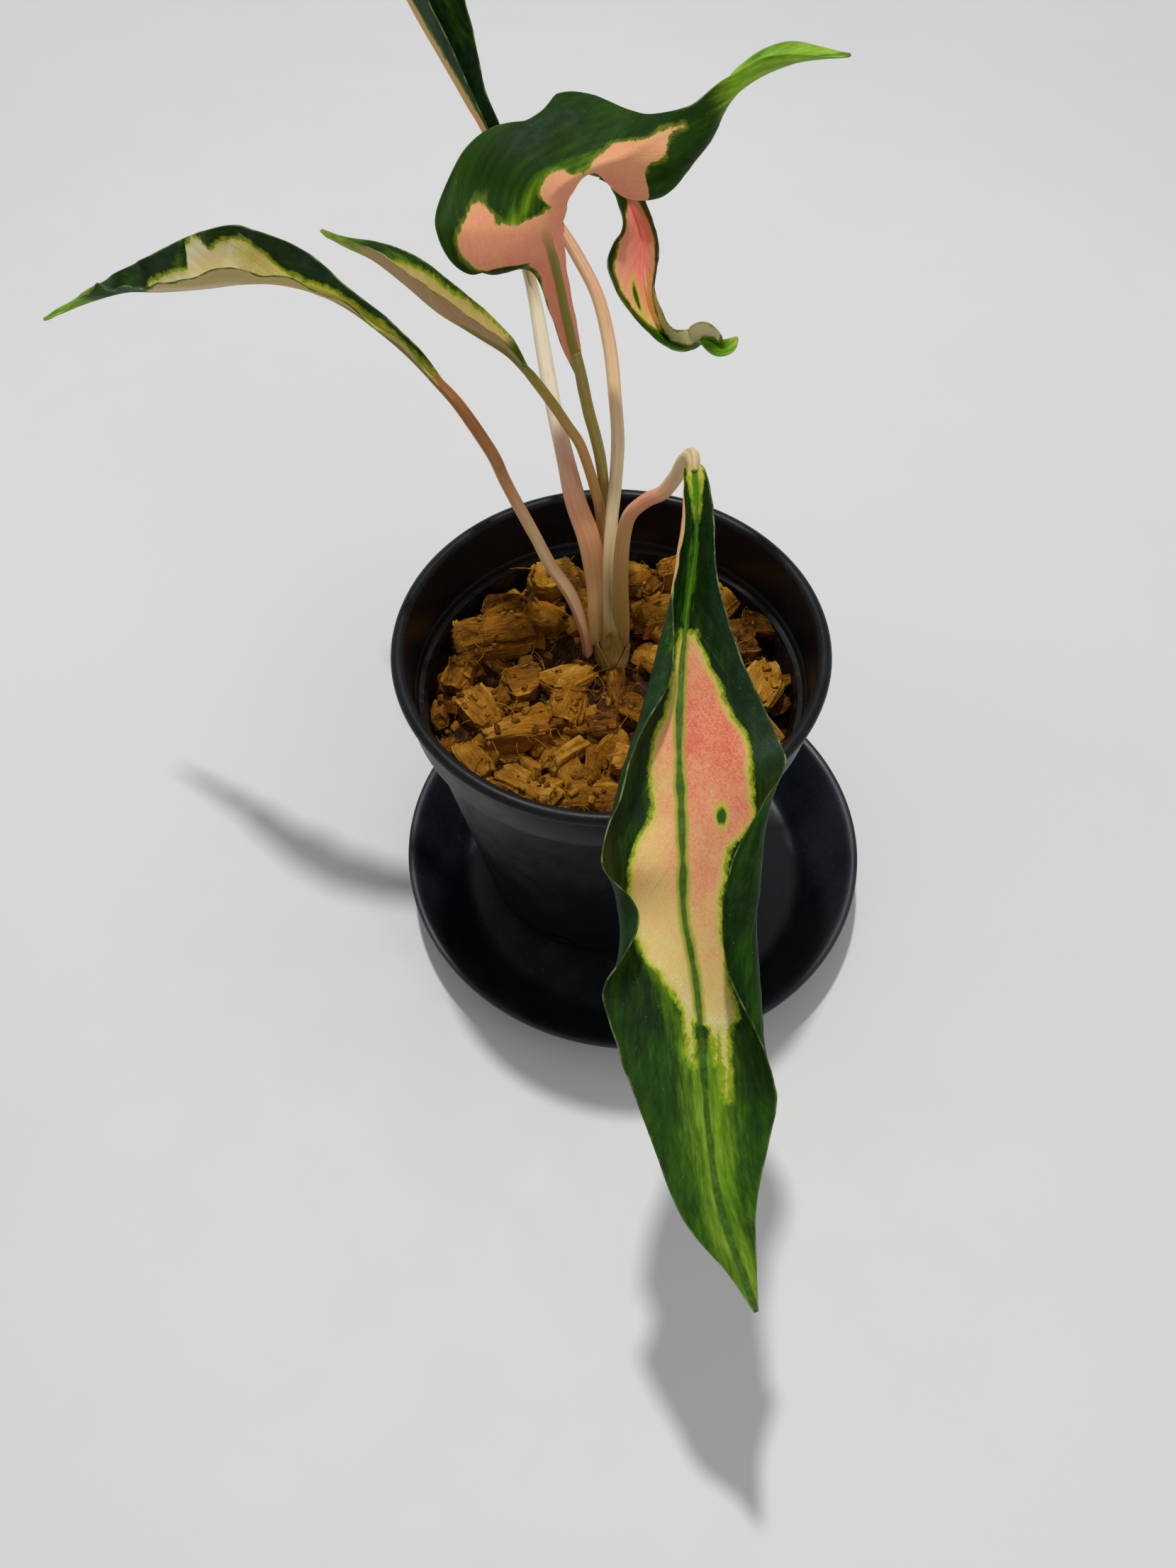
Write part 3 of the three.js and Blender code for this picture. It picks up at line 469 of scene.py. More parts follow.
# The bluish bands of each blade mark a painted sheen: reflection of the surroundings painted on the glossy
# surface.
MARKINGS = {
    "front": {
        "upper": {
            "pale": [
                FRONT_PALE,
                [(127, -5.6, -3.9), (138, -5.2, -4.1), (146, -4.7, -4.4)],
                [(127, -3.6, -2.3), (138, -3.2, -2.8)],
                [(125, 1.6, 3.3), (132, 1.9, 3.1), (138, 2.3, 2.7)],
                [(0, -1.8, 1.8), (8, -1.5, 1.5), (16, -0.3, 0.3)],
            ],
            "lime": [
                [(100, 10, 14), (110, 7, 13), (120, 3, 11), (132, 2.5, 7), (146, 2.5, 5)],
                [(114, -8, -2.5), (128, -7.5, -2.5), (146, -5.5, -2.5)],
                [(44, 1.5, 5), (58, 4, 6)],
                [(90, -12, -8), (97, -10, -8)],
            ],
            "fresh": [[(132, -8, 7), (150, -8, 6), (168, -6, 5), (190, -4, 4)]],
            "blue": [
                [(15, -7, -3.5), (35, -11, -6), (56, -20, -13), (75, -26, -17), (86, -29, -22)],
                [(80, -0.9, 0.9), (104, -1.1, 1.1), (130, -1.3, 1.3), (150, -1.2, 1.2)],
            ],
            "scar": [[(84, -20, -18), (88, -20.5, -18)]],
        },
        "under": {
            "pale": [[(0, -3, 9), (12, -2, 10), (32, 1, 13), (38, 3, 10)], FRONT_PALE],
            "lime": [[(45, 10, 12), (52, 12, 15.5)], [(118, -8, 8), (160, -6, 6)]],
            "blue": [[(34, 4, 16), (90, 8, 30), (130, 8, 30)]],
        },
        "tone": FRONT_TONE,
    },
    "left": {
        "upper": {
            "pale": [
                [(0, -3, 1), (30, -4, 1.2), (40, -5, 1.5), (47.4, -6, 1.7), (52, -8, 2.8), (55, -9.5, 5.4),
                 (57.8, -10, 8.1), (61, -10, 9.6), (65.4, -10, 9.8), (69.5, -10, 8.2), (72.4, -10, 10.6),
                 (76, -9.5, 11.4), (78.8, -9, 10), (79.6, -9, 4.6), (86.9, -7, 3.8), (95.4, -4, 2),
                 (97, -2, 0)],
            ],
            "lime": [[(80, -8, 12), (86, -8, 4)]],
            "fresh": whole_width(117, 170),
            "blue": [[(20, 1, 5), (48, 3, 9), (60, 8, 14)], [(82, 4, 12), (98, 3, 11)]],
        },
        "under": {
            "pale": [[(0, -6, 4), (30, -9, 5), (55, -14, 14), (78, -14, 14), (88, -6, 6), (94, -2, 2)]],
            "lime": [[(80, -9, 9), (92, -9, 8)]],
            "fresh": whole_width(117, 170),
        },
        "tone": [
            (0, 0.3, 0.35, 0.3), (35, 0.35, 0.4, 0.35), (50, 0.45, 0.8, 0.8), (62, 0.5, 0.95, 0.92),
            (68, 0.6, 1.1, 1.05), (80, 0.6, 1.1, 1.1), (90, 0.7, 0.95, 0.95),
        ],
        "border": [
            (0, 0, 0.4), (48, 0.3, 2), (58, 0.3, 1.6), (66, 0.3, 1.6), (72, 0.3, 0.4), (150, 0.3, 0.3),
        ],
    },
    "left_small": {
        "upper": {
            "pale": [[(10, -5, 3.5), (30, -8, 6.2), (50, -8, 5.6), (60, -7, 3), (66, -4, 0)]],
            "lime": [
                [(0, -3, 4), (20, -7, 7.4), (40, -8, 8), (60, -7, 6), (66, -5, 4)],
                [(74, -5, 5), (100, -5, 5)],
            ],
        },
        "under": {
            "pale": [[(4, -3, 3), (20, -8, 6), (52, -8, 6), (62, -6, 4), (72, -3, 2)]],
            "lime": [[(0, -3, 3), (16, -5, 5)], [(60, -8, 8), (100, -6, 6)]],
        },
        "tone": [(0, 0.5, 0.6, 0.8), (20, 0.3, 0.5, 0.95), (45, 0.3, 0.5, 0.95), (70, 0.4, 0.6, 0.9)],
    },
    "centre": {
        "upper": {
            "pale": [
                [(0, -6, 6), (34, -7, 16), (46, -8, 9), (58, -11, 3), (68, -10, 2.5), (77, -6, 0.5),
                 (80, -3, -1)],
            ],
            "fresh": whole_width(80, 125),
        },
        "under": {
            "pale": [
                [(0, -6, 6), (20, -8, 8), (33.4, -9, 6), (35, -9, 16.5), (37, -9, 19.4), (38, -9, 20.4),
                 (39.4, -9, 19)],
                [(38, 11, 20), (40.4, 12, 18), (42, 14.6, 16.4)],
                [(38, -9, 9), (40, -9, 5), (41.4, -9, 1), (43.2, -9, -0.6), (44, -9, 2), (46, -9, 3.8),
                 (50, -9, 3.6), (51.6, -9, 0.4), (55, -12, 0.2), (58.6, -14, 2.6), (62.6, -14, 4.4),
                 (65.4, -13, 3.4), (66, -5, 3), (68.4, -3.8, 1.6), (70, -4.2, 0.8), (72, -4.6, 0.8),
                 (73, -2.6, 0.7), (74, -1, 0.6), (78, -0.1, 0.4)],
            ],
            "lime": [[(36, 8, 14), (42, 2, 8), (52, 0, 4), (62, 2, 5)]],
            "fresh": whole_width(86, 125),
            "blue": [[(46, 12, 18), (60, 12, 17)], [(78, 2, 8), (86, 2, 8)]],
        },
        "tone": CENTRE_TONE,
        "border": [(0, 0, 0), (24, 0, 0.3), (29, 0, 1.5), (33, 0, 3), (42, 0, 3), (56, 0, 2), (76, 0, 2)],
    },
    "right": {
        "upper": {
            "pale": [
                [(4, -1, 1), (20, -3, 2), (36, -3.6, -0.4), (38, -4.4, 0.6), (40, -4.8, 3), (43, -6, 7),
                 (50, -8.2, 10.4), (56, -8.6, 10.4), (60, -8, 11), (64, -5.8, 9.6), (68, -4.4, 7),
                 (72, -2.8, 4), (75, -1.5, 1)],
                [(66, -9, -6), (70, -9, -4.6), (75, -9, -2.2), (80, -8, -1.2), (90, -7, -0.8), (97, -6, -2)],
            ],
            "lime": [[(60, 5, 10), (70, 3, 8), (75, 0, 4)], [(92, -3, 1), (100, -3, 3)]],
            "fresh": whole_width(96, 120),
            "blue": [[(82, -2, 3), (92, -3, 2)]],
        },
        "under": {
            "pale": [[(0, -2, 2), (24, -5, 5), (40, -7, 7), (58, -9, 10), (70, -5, 9), (78, 0, 6)]],
            "lime": [[(62, -8, -4), (76, -5, 0)], [(80, 3, 8), (90, 3, 8)]],
            "fresh": whole_width(96, 120),
            "blue": [[(80, -6, 0), (96, -6, 0)]],
        },
        "tone": [
            (0, 0.3, 0.3, 0.3), (34, 0.12, 0.06, 0.1), (46, 0.16, 0.1, 0.16), (54, 0.3, 0.14, 0.24),
            (62, 0.4, 0.36, 0.36), (68, 0.95, 0.5, 0.42), (76, 0.96, 0.8, 0.5), (92, 0.98, 0.95, 1),
        ],
        "border": [(0, 0.5, 0.5), (44, 0.6, 0.5), (64, 0.4, 0.4), (68, 0, 0.4), (110, 0, 0.4)],
    },
    "back": {
        "upper": {
            "pale": [
                [(0, -2, 2), (24, -1.5, 1.5), (44, -1, 1), (70, -1, 1), (100, -0.9, 0.9), (130, -0.3, 0.3)],
            ],
            "lime": [
                [(60, 7, 9), (74, 8, 11), (84, 9, 11)],
                [(70, -7, -5), (110, -6, -4)],
                [(136, -6, 6), (170, -5, 5)],
            ],
            "blue": [[(40, 3, 7), (60, 4, 9), (90, 12, 18)], [(66, 2, 5), (110, 3, 6)]],
        },
        "under": {
            "pale": [[(0, -5, 5), (24, -4.5, 4), (60, -3.6, 3), (90, -3, 2.4), (125, -1.6, 1.4)]],
            "lime": [[(60, -4, 4), (100, -3, 3), (130, -2.5, 2.5)], [(136, -6, 6), (170, -5, 5)]],
            "blue": [[(40, 4, 9), (100, 6, 14)], [(40, -9, -4), (100, -14, -6)]],
        },
        "tone": [(0, 0.3, 0.3, 0.3), (40, 0.3, 0.45, 0.3), (60, 0.45, 0.7, 0.45), (100, 0.6, 0.8, 0.6)],
    },
}
# The bluish bands among these mark painted sheen
MARKING_NAMES = ("pale", "lime", "fresh", "blue", "scar")
# Round green spots and bleached streaks on the upper side: place along, across, half
# length and half width
SPOTS = {"front": [(86, -8.7, 1.9, 1.0)], "right": [(64.6, 3.9, 3.8, 0.8)]}
BLEACHED = {"right": [(59.8, -1.9, 4.4, 0.7), (84, -4, 14, 3.4)], "left": [(72, 3.6, 8.5, 7)]}
FAR_OUTSIDE = -20.0

BLADES = {
    "front": FRONT_BLADE,
    "left": LEFT_BLADE,
    "left_small": SMALL_LEFT_BLADE,
    "centre": CENTRE_BLADE,
    "right": RIGHT_BLADE,
    "back": BACK_BLADE,
}

# How clearly the midrib shows, the length of the tapering foot, how speckled the pale
# parts are, how clear the yellow line round them is, the waves' length and height, how
# fresh the green of the tip is, and the washes over the pale parts. A wash is its share
# and its colour; a tone wash is two tones, the shares at them and the colour.
LEAF_LOOKS = {
    "front": {
        "rib": 1.0, "foot": 3, "speckle": 1.0, "ring": 1.0, "wave": (15, 0.55), "fresh": 0.62,
        "under_wash": (0.4, (226, 150, 120)), "dark_under": True,
    },
    "left": {
        "rib": 0.2, "foot": 18, "speckle": 0.25, "ring": 0.8, "wave": (8, 2.6), "fresh": 0.96,
        "under_wash": (0.55, (190, 162, 104)), "tone_wash": ((0.7, 1.0), (0.75, 0.15), (180, 172, 92)),
    },
    "left_small": {
        "rib": 0.0, "foot": 12, "speckle": 0.4, "ring": 0.7, "wave": (9, 0.6), "fresh": 0.96,
        "under_wash": (0.7, (142, 128, 84)), "upper_wash": (0.45, (136, 138, 60)),
    },
    "centre": {
        "rib": 0.8, "foot": 12, "speckle": 0.6, "ring": 0.5, "wave": (12, 0.5), "fresh": 0.96,
        "under_wash": (0.45, (236, 146, 124)),
    },
    "right": {
        "rib": 0.0, "foot": 14, "speckle": 0.5, "ring": 0.5, "wave": (12, 0.45), "fresh": 0.96,
        "under_wash": (0.4, (226, 150, 120)), "tone_wash": ((0.5, 0.2), (0.0, 0.85), (255, 176, 154)),
    },
    "back": {
        "rib": 0.5, "foot": 16, "speckle": 0.5, "ring": 0.7, "wave": (14, 0.5), "fresh": 0.96,
        "under_wash": (0.4, (216, 150, 108)),
    },
}

# Blade mesh: how fine it is, then the sizes of its relief in millimetres
BLADE_STATIONS = 230
HALF_COLUMNS = 24
SECTION_STEPS = 3
BLADE_THICKNESS = 0.55
RIM_THICKNESS = 0.3
RIM_BULGE = 0.12
MIN_HALF_WIDTH = 0.35
FOOT_WIDTH = 0.35
WAVE_WIDTH = 15
WAVE_ROOM = 6
CRINKLE_LENGTH = 4.2
CRINKLE_WIDTH = 9
CRINKLE_HEIGHT = 0.42
VEIN_SLANT = 1.5
VEIN_SPACING = 5.2
VEIN_DEPTH = 0.07
VEIN_SHARE_UNDER = 0.7
VEIN_START = 3
VEIN_STOP = 2
VEIN_PLACE_SHRINK = 0.12
KEEL_DEPTH = 0.75
KEEL_WIDTH = 0.9
KEEL_FULL = 1.25
KEEL_END = 0.3
KEEL_LEAST = 0.16
GROOVE_DEPTH = 0.22
GROOVE_WIDTH = 0.8
GROOVE_ROOM = 4
LEAF_SEED_STEP = 7.3
SHORTEST = 1e-9


def band_depth(along, across, band):
    """How far inside a band each place lies, below zero outside it."""
    rows = np.array(band, dtype=float)
    low = np.interp(along, rows[:, 0], rows[:, 1])
    high = np.interp(along, rows[:, 0], rows[:, 2])
    sideways = np.minimum(across - low, high - across)
    ends = np.minimum(along - rows[0, 0], rows[-1, 0] - along)
    return np.minimum(sideways, ends)


def marking_depth(along, across, bands):
    """How far inside the nearest of some bands each place lies."""
    depth = np.full(along.shape, FAR_OUTSIDE)
    for band in bands:
        depth = np.maximum(depth, band_depth(along, across, band))
    return depth


def border_width(along, share, rows):
    """Width of the green strip kept along the margin."""
    table = np.array(rows, dtype=float)
    left = np.interp(along, table[:, 0], table[:, 1])
    right = np.interp(along, table[:, 0], table[:, 2])
    return np.where(share < 0, left, right)


def marking_tone(along, share, rows):
    """Tone by place along the midrib and by share across, -1 to 1."""
    table = np.array(rows, dtype=float)
    left, left_middle = (np.interp(along, table[:, 0], table[:, column]) for column in (1, 2))
    right_middle, right = (np.interp(along, table[:, 0], table[:, column]) for column in (-2, -1))
    side = np.where(share < 0, left, right)
    middle = np.where(share < 0, left_middle, right_middle)
    return middle + (side - middle) * np.abs(share)


def carried_side(points, side):
    """Direction and untwisted side at each point of a line."""
    along = np.gradient(points, axis=0)
    along /= np.linalg.norm(along, axis=1)[:, None]
    sides = []
    current = np.array(side, dtype=float)
    for direction in along:
        current = unit(current - direction * np.dot(current, direction))
        sides.append(current)
    return along, np.array(sides)


def half_section(width, fold, curl):
    """Out and up from the midrib at each column, for every station at once."""
    count = HALF_COLUMNS * SECTION_STEPS
    share = (np.arange(count) + 0.5) / count
    angle = np.radians(fold[:, None] + curl[:, None] * share**2)
    step = np.maximum(width, MIN_HALF_WIDTH)[:, None] / count
    out = np.cumsum(step * np.cos(angle), axis=1)[:, SECTION_STEPS - 1 :: SECTION_STEPS]
    up = np.cumsum(step * np.sin(angle), axis=1)[:, SECTION_STEPS - 1 :: SECTION_STEPS]
    return out, up


def smooth_noise(first, second, seed):
    """Soft noise from -1 to 1 over two coordinates."""
    flat = [noise.noise(Vector((a, b, seed))) for a, b in zip(first.ravel(), second.ravel())]
    return np.array(flat).reshape(first.shape)


def ellipse_depth(along, across, ellipses):
    """How far inside the nearest of some ellipses each place lies, 1 at the middle."""
    depth = np.full(along.shape, FAR_OUTSIDE)
    for middle, sideways, length, width in ellipses:
        depth = np.maximum(depth, 1 - np.hypot((along - middle) / length, (across - sideways) / width))
    return depth


def blade_sheet(blade, foot_taper):
    """Middle sheet of a blade, with the place along, share across and half width."""
    rows = np.array(blade["rows"], dtype=float)
    table = np.array([smooth_row(rows, step / BLADE_STATIONS) for step in range(BLADE_STATIONS + 1)])
    midrib = table[:, :3]
    along, side = carried_side(midrib, blade["side"])
    turn = np.radians(table[:, 3])[:, None]
    right = side * np.cos(turn) + np.cross(side, along) * np.sin(turn)
    face = np.cross(right, along)
    steps = np.linalg.norm(np.diff(midrib, axis=0), axis=1)
    reach = np.concatenate([[0.0], np.cumsum(steps)])
    grown = np.clip(reach / foot_taper, 0, 1)
    table[:, [4, 7]] *= (FOOT_WIDTH + (1 - FOOT_WIDTH) * grown * grown * (3 - 2 * grown))[:, None]
    right_out, right_up = half_section(table[:, 4], table[:, 5], table[:, 6])
    left_out, left_up = half_section(table[:, 7], table[:, 8], table[:, 9])
    out = np.hstack([-left_out[:, ::-1], np.zeros((len(table), 1)), right_out])
    up = np.hstack([left_up[:, ::-1], np.zeros((len(table), 1)), right_up])
    sheet = midrib[:, None, :] + right[:, None, :] * out[:, :, None] + face[:, None, :] * up[:, :, None]
    share = np.linspace(-1, 1, 2 * HALF_COLUMNS + 1)
    half = np.where(share[None, :] < 0, table[:, 7:8], table[:, 4:5])
    half = np.maximum(half, MIN_HALF_WIDTH)
    along = np.repeat(reach[:, None], len(share), axis=1)
    return sheet, along, np.repeat(share[None, :], len(table), axis=0), half


def sheet_normals(sheet):
    """Upper side direction at each place of a sheet."""
    across = np.gradient(sheet, axis=1)
    along = np.gradient(sheet, axis=0)
    normal = np.cross(across, along)
    return normal / np.maximum(np.linalg.norm(normal, axis=2), SHORTEST)[:, :, None]


def blade_relief(look, along, share, half, seed):
    """Waves of a blade, and its veins, keel and groove, in millimetres at each place."""
    across = share * half
    margin = np.abs(share)
    room = np.clip(half / WAVE_ROOM, 0, 1)
    wave_length, wave_height = look["wave"]
    wave = smooth_noise(along / wave_length, across / WAVE_WIDTH + 3, seed)
    wave *= wave_height * margin * room
    crinkle = smooth_noise(along / CRINKLE_LENGTH, across / CRINKLE_WIDTH, seed + 5)
    wave += crinkle * CRINKLE_HEIGHT * margin**3 * room
    phase = 2 * np.pi * (along - VEIN_SLANT * np.abs(across)) / VEIN_SPACING
    vein = VEIN_DEPTH * (0.5 + 0.5 * np.cos(phase)) ** 3
    vein *= np.clip(np.abs(across) / VEIN_START, 0, 1) * np.clip((1 - margin) * half / VEIN_STOP, 0, 1)
    keel = KEEL_DEPTH * np.exp(-((across / KEEL_WIDTH) ** 2))
    keel *= np.clip(KEEL_FULL - along / along.max() / KEEL_END, KEEL_LEAST, 1)
    groove = GROOVE_DEPTH * np.exp(-((across / GROOVE_WIDTH) ** 2)) * np.clip(half / GROOVE_ROOM, 0, 1)
    return wave, vein, keel, groove


def round_blade(upper, right_rim, under, left_rim):
    """Columns round a blade: its upper side, right rim, under side and left rim."""
    return np.concatenate([upper, right_rim, under[:, ::-1], left_rim], axis=1)


def rim_column(edge, inside):
    """A column just outside the margin, which rounds it."""
    out = edge - inside
    out /= np.maximum(np.linalg.norm(out, axis=1), SHORTEST)[:, None]
    return (edge + out * RIM_BULGE)[:, None, :]


def blade_points(look, sheet, along, share, half, seed):
    """Points round the blade at each station."""
    wave, vein, keel, groove = blade_relief(look, along, share, half, seed)
    normal = sheet_normals(sheet)
    thickness = BLADE_THICKNESS + (RIM_THICKNESS - BLADE_THICKNESS) * np.abs(share) ** 4
    upper = sheet + normal * (wave + thickness / 2 - groove - vein)[:, :, None]
    under = sheet + normal * (wave - thickness / 2 - keel - VEIN_SHARE_UNDER * vein)[:, :, None]
    middle = sheet + normal * wave[:, :, None]
    right_rim = rim_column(middle[:, -1], middle[:, -2])
    left_rim = rim_column(middle[:, 0], middle[:, 1])
    return round_blade(upper, right_rim, under, left_rim)


def blade_faces(stations, columns):
    """Faces round the blade, then those that close its foot and its tip."""
    around = 2 * columns + 2
    faces = join_rings(even_rings(stations, around))
    last = (stations - 1) * around
    for top in range(columns - 1):
        bottom = 2 * columns - top
        faces.append((bottom - 1, top + 1, top, bottom))
        faces.append((last + bottom, last + top, last + top + 1, last + bottom - 1))
    for start, turn in ((0, 1), (last, -1)):
        for corners in ((columns, columns - 1, columns + 1), (2 * columns + 1, 2 * columns, 0)):
            faces.append(tuple(start + corner for corner in corners[::turn]))
    return faces


def mark_blade(mesh, name, along, share, half, seed):
    """Gives the blade's points what its material reads: its places and its markings."""
    mark = MARKINGS[name]
    ones = np.ones((len(along), 1))
    across = share * half
    side = round_blade(np.zeros_like(along), 0.5 * ones, np.ones_like(along), 0.5 * ones)
    along = round_blade(along, along[:, :1], along, along[:, :1])
    across = round_blade(across, half[:, -1:], across, -half[:, :1])
    share = round_blade(share, ones, share, -ones)
    half = round_blade(half, half[:, -1:], half, half[:, :1])
    from_rim = (1 - np.abs(share)) * half
    values = {"across": across, "from_rim": from_rim, "tip": along / along.max()}
    values["tone"] = marking_tone(along, share, mark["tone"])
    for title in MARKING_NAMES:
        on_upper = marking_depth(along, across, mark["upper"].get(title, []))
        on_under = marking_depth(along, across, mark["under"].get(title, []))
        values[title] = np.where(side > 0.5, on_under, on_upper)
    if "border" in mark:
        inside_border = from_rim - border_width(along, share, mark["border"])
        values["pale"] = np.minimum(values["pale"], inside_border)
    for title, ellipses in (("spot", SPOTS), ("bleached", BLEACHED)):
        depth = ellipse_depth(along, across, ellipses.get(name, []))
        values[title] = np.where(side < 0.5, depth, FAR_OUTSIDE)
    for title, table in values.items():
        add_values(mesh, title, table.ravel())
    seeds = np.full(along.shape, seed)
    veins = [along - VEIN_SLANT * np.abs(across), np.abs(across) * VEIN_PLACE_SHRINK, seeds]
    for title, parts in (("leaf_place", [along, across, seeds]), ("vein_place", veins)):
        add_vectors(mesh, title, np.stack(parts, axis=-1).reshape(-1, 3))


def make_blade(name, order):
    """One leaf blade as a closed sheet with a keel, a groove, waves and soft veins."""
    look = LEAF_LOOKS[name]
    sheet, along, share, half = blade_sheet(BLADES[name], look["foot"])
    seed = SEED + LEAF_SEED_STEP * order
    points = blade_points(look, sheet, along, share, half, seed)
    stations, around = points.shape[:2]
    columns = sheet.shape[1]
    mesh = new_mesh("leaf_" + name, points.reshape(-1, 3), blade_faces(stations, columns))
    mark_blade(mesh, name, along, share, half, seed)
    sides = np.zeros(len(mesh.polygons), dtype=int)
    column = np.arange((stations - 1) * around) % around
    sides[: len(column)] = (column > columns) & (column < 2 * columns)
    mesh.polygons.foreach_set("material_index", sides)
    piece = link_object("leaf_" + name, mesh, [blade_material(name, True), blade_material(name, False)])
    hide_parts("blade_" + name)


# Colours of the leaves, as stops from 0 to 1 with a screen colour
LEAF_GREENS = [(0.3, (7, 24, 3)), (0.48, (17, 44, 5)), (0.62, (36, 74, 3)), (0.75, (60, 104, 2))]
UNDER_GREENS = [(0.3, (16, 40, 2)), (0.48, (28, 58, 4)), (0.62, (42, 76, 6)), (0.75, (66, 100, 10))]
# Painted sheen: bluish greens standing for reflections on the glossy blade
SHEEN_GREENS = [(0.3, (14, 38, 18)), (0.7, (42, 68, 42))]
LIMES = [(0.2, (44, 84, 6)), (0.5, (84, 122, 8)), (0.8, (160, 170, 40)), (1.0, (202, 200, 92))]
FRESH_GREENS = [(0.3, (96, 144, 10)), (0.5, (136, 182, 30)), (0.7, (180, 208, 72))]
RING_YELLOWS = [(0.3, (124, 158, 10)), (0.7, (186, 196, 40))]
RIB_GREENS = [(0.35, (34, 76, 10)), (0.5, (58, 98, 20)), (0.65, (84, 112, 52))]
ROSES = [
    (0.0, (232, 114, 90)), (0.15, (242, 144, 110)), (0.35, (246, 170, 122)), (0.55, (244, 196, 126)),
    (0.75, (236, 210, 128)), (0.9, (232, 218, 152)), (1.0, (244, 238, 212)),
]
PALE_MARGIN = (214, 204, 92)
BLEACHED_CREAM = (255, 236, 182)
DRY_TIP = (178, 168, 84)
SPOT_YELLOW = (206, 200, 70)
SPOT_GREEN = (46, 96, 12)
SCAR_BROWN = (150, 112, 66)
RIB_YELLOW = (160, 176, 40)
HEAD_GREEN = (84, 136, 10)
FOOT_OLIVE = (142, 130, 58)
# Painted highlight along the blade's rim
RIM_HIGHLIGHT = (142, 158, 96)
FLECK_PALE = (190, 196, 150)
RING_SHARE_UNDER = 0.6


def leaf_fields(made):
    """The noise fields that several parts of a leaf's colour share."""
    place = made.vector("leaf_place")
    ragged = made.noise(place, 0.45, 4, 0.65)
    fibre = made.noise(made.vector("vein_place"), 0.9, 3, 0.6)
    streaks = made.noise(made.scaled(place, 0.2, 1.0, 1.0), 0.55, 4, 0.65)
    wobble = made.maths("MULTIPLY_ADD", ragged, 2.2, -1.1)
    shift = made.maths("ADD", wobble, made.maths("MULTIPLY_ADD", fibre, 1.3, -0.65))
    return {
        "place": place, "ragged": ragged, "fibre": fibre, "streaks": streaks,
        "wobble": wobble, "shift": shift,
        "soft": made.noise(place, 0.11, 3, 0.55),
        "grit": made.noise(place, 2.6, 2, 0.6),
        "patchy": made.maths("MULTIPLY_ADD", streaks, 9.0, -4.5),
        "pale": made.maths("ADD", made.number("pale"), shift),
    }


def leaf_green(made, fields, look, upper):
    """Green parts: dark to mid green, with a painted bluish-green sheen, lime, a fresh tip and a dry point.
    """
    depth = made.maths("MULTIPLY_ADD", fields["streaks"], 0.5, made.maths("MULTIPLY", fields["soft"], 0.35))
    depth = made.maths("MULTIPLY_ADD", fields["fibre"], 0.15, depth)
    young = made.span(made.number("tip"), 0.55, 0.9, 0.0, 0.16)
    greens = LEAF_GREENS if upper or look.get("dark_under") else UNDER_GREENS
    colour = made.ramp(made.maths("ADD", depth, young), greens)
    # Painted sheen over the greens, where the bluish bands lie
    blue = made.maths("MULTIPLY_ADD", fields["shift"], 1.2, made.number("blue"))
    blue = made.maths("MULTIPLY", made.span(blue, -1.5, 2.0), 0.65)
    colour = made.mix(blue, colour, made.ramp(fields["ragged"], SHEEN_GREENS))
    lime = made.maths("ADD", made.maths("ADD", made.number("lime"), fields["wobble"]), fields["patchy"])
    limes = made.ramp(made.maths("MULTIPLY_ADD", lime, 0.08, 0.28), LIMES)
    colour = made.mix(made.span(lime, -1.6, 3.0, 0.0, 0.95), colour, limes)
    fresh = made.maths("MULTIPLY_ADD", fields["patchy"], 0.5, made.number("fresh"))
    fresh = made.span(fresh, -1.0, 6.0, 0.0, look["fresh"])
    colour = made.mix(fresh, colour, made.ramp(fields["streaks"], FRESH_GREENS))
    point = made.maths("MULTIPLY", made.span(made.number("tip"), 0.975, 1.0), 0.7)
    return made.mix(point, colour, DRY_TIP)


def leaf_rose(made, fields, look, upper):
    """Pale parts: rose to cream by tone, yellower at their margin, with the washes."""
    speckle = look["speckle"]
    tone = made.number("tone")
    for field, share in (("soft", 0.5), ("grit", 0.9 * speckle), ("ragged", 0.4 * speckle), ("fibre", 0.14)):
        tone = made.maths("MULTIPLY_ADD", made.maths("SUBTRACT", fields[field], 0.5), share, tone)
    colour = made.ramp(tone, ROSES)
    if "tone_wash" in look:
        tones, shares, wash = look["tone_wash"]
        colour = made.mix(made.span(tone, *tones, *shares), colour, wash)
    colour = made.mix(made.span(fields["pale"], 0.2, 1.7, 0.75 * look["ring"], 0.0), colour, PALE_MARGIN)
    bleached = made.maths("MULTIPLY_ADD", fields["wobble"], 0.2, made.number("bleached"))
    colour = made.mix(made.span(bleached, -0.2, 0.6, 0.0, 0.9), colour, BLEACHED_CREAM)
    wash = look.get("upper_wash" if upper else "under_wash")
    if wash:
        colour = made.mix(wash[0], colour, wash[1])
    return colour


def leaf_marks(made, fields, colour):
    """Green spots with a yellow edge, and the dry scar."""
    spot = made.maths("MULTIPLY_ADD", fields["wobble"], 0.25, made.number("spot"))
    colour = made.mix(made.span(spot, -1.1, -0.25), colour, SPOT_YELLOW)
    colour = made.mix(made.span(spot, -0.35, 0.25), colour, SPOT_GREEN)
    scar = made.span(made.maths("ADD", made.number("scar"), fields["wobble"]), -0.2, 0.6)
    return made.mix(scar, colour, SCAR_BROWN)


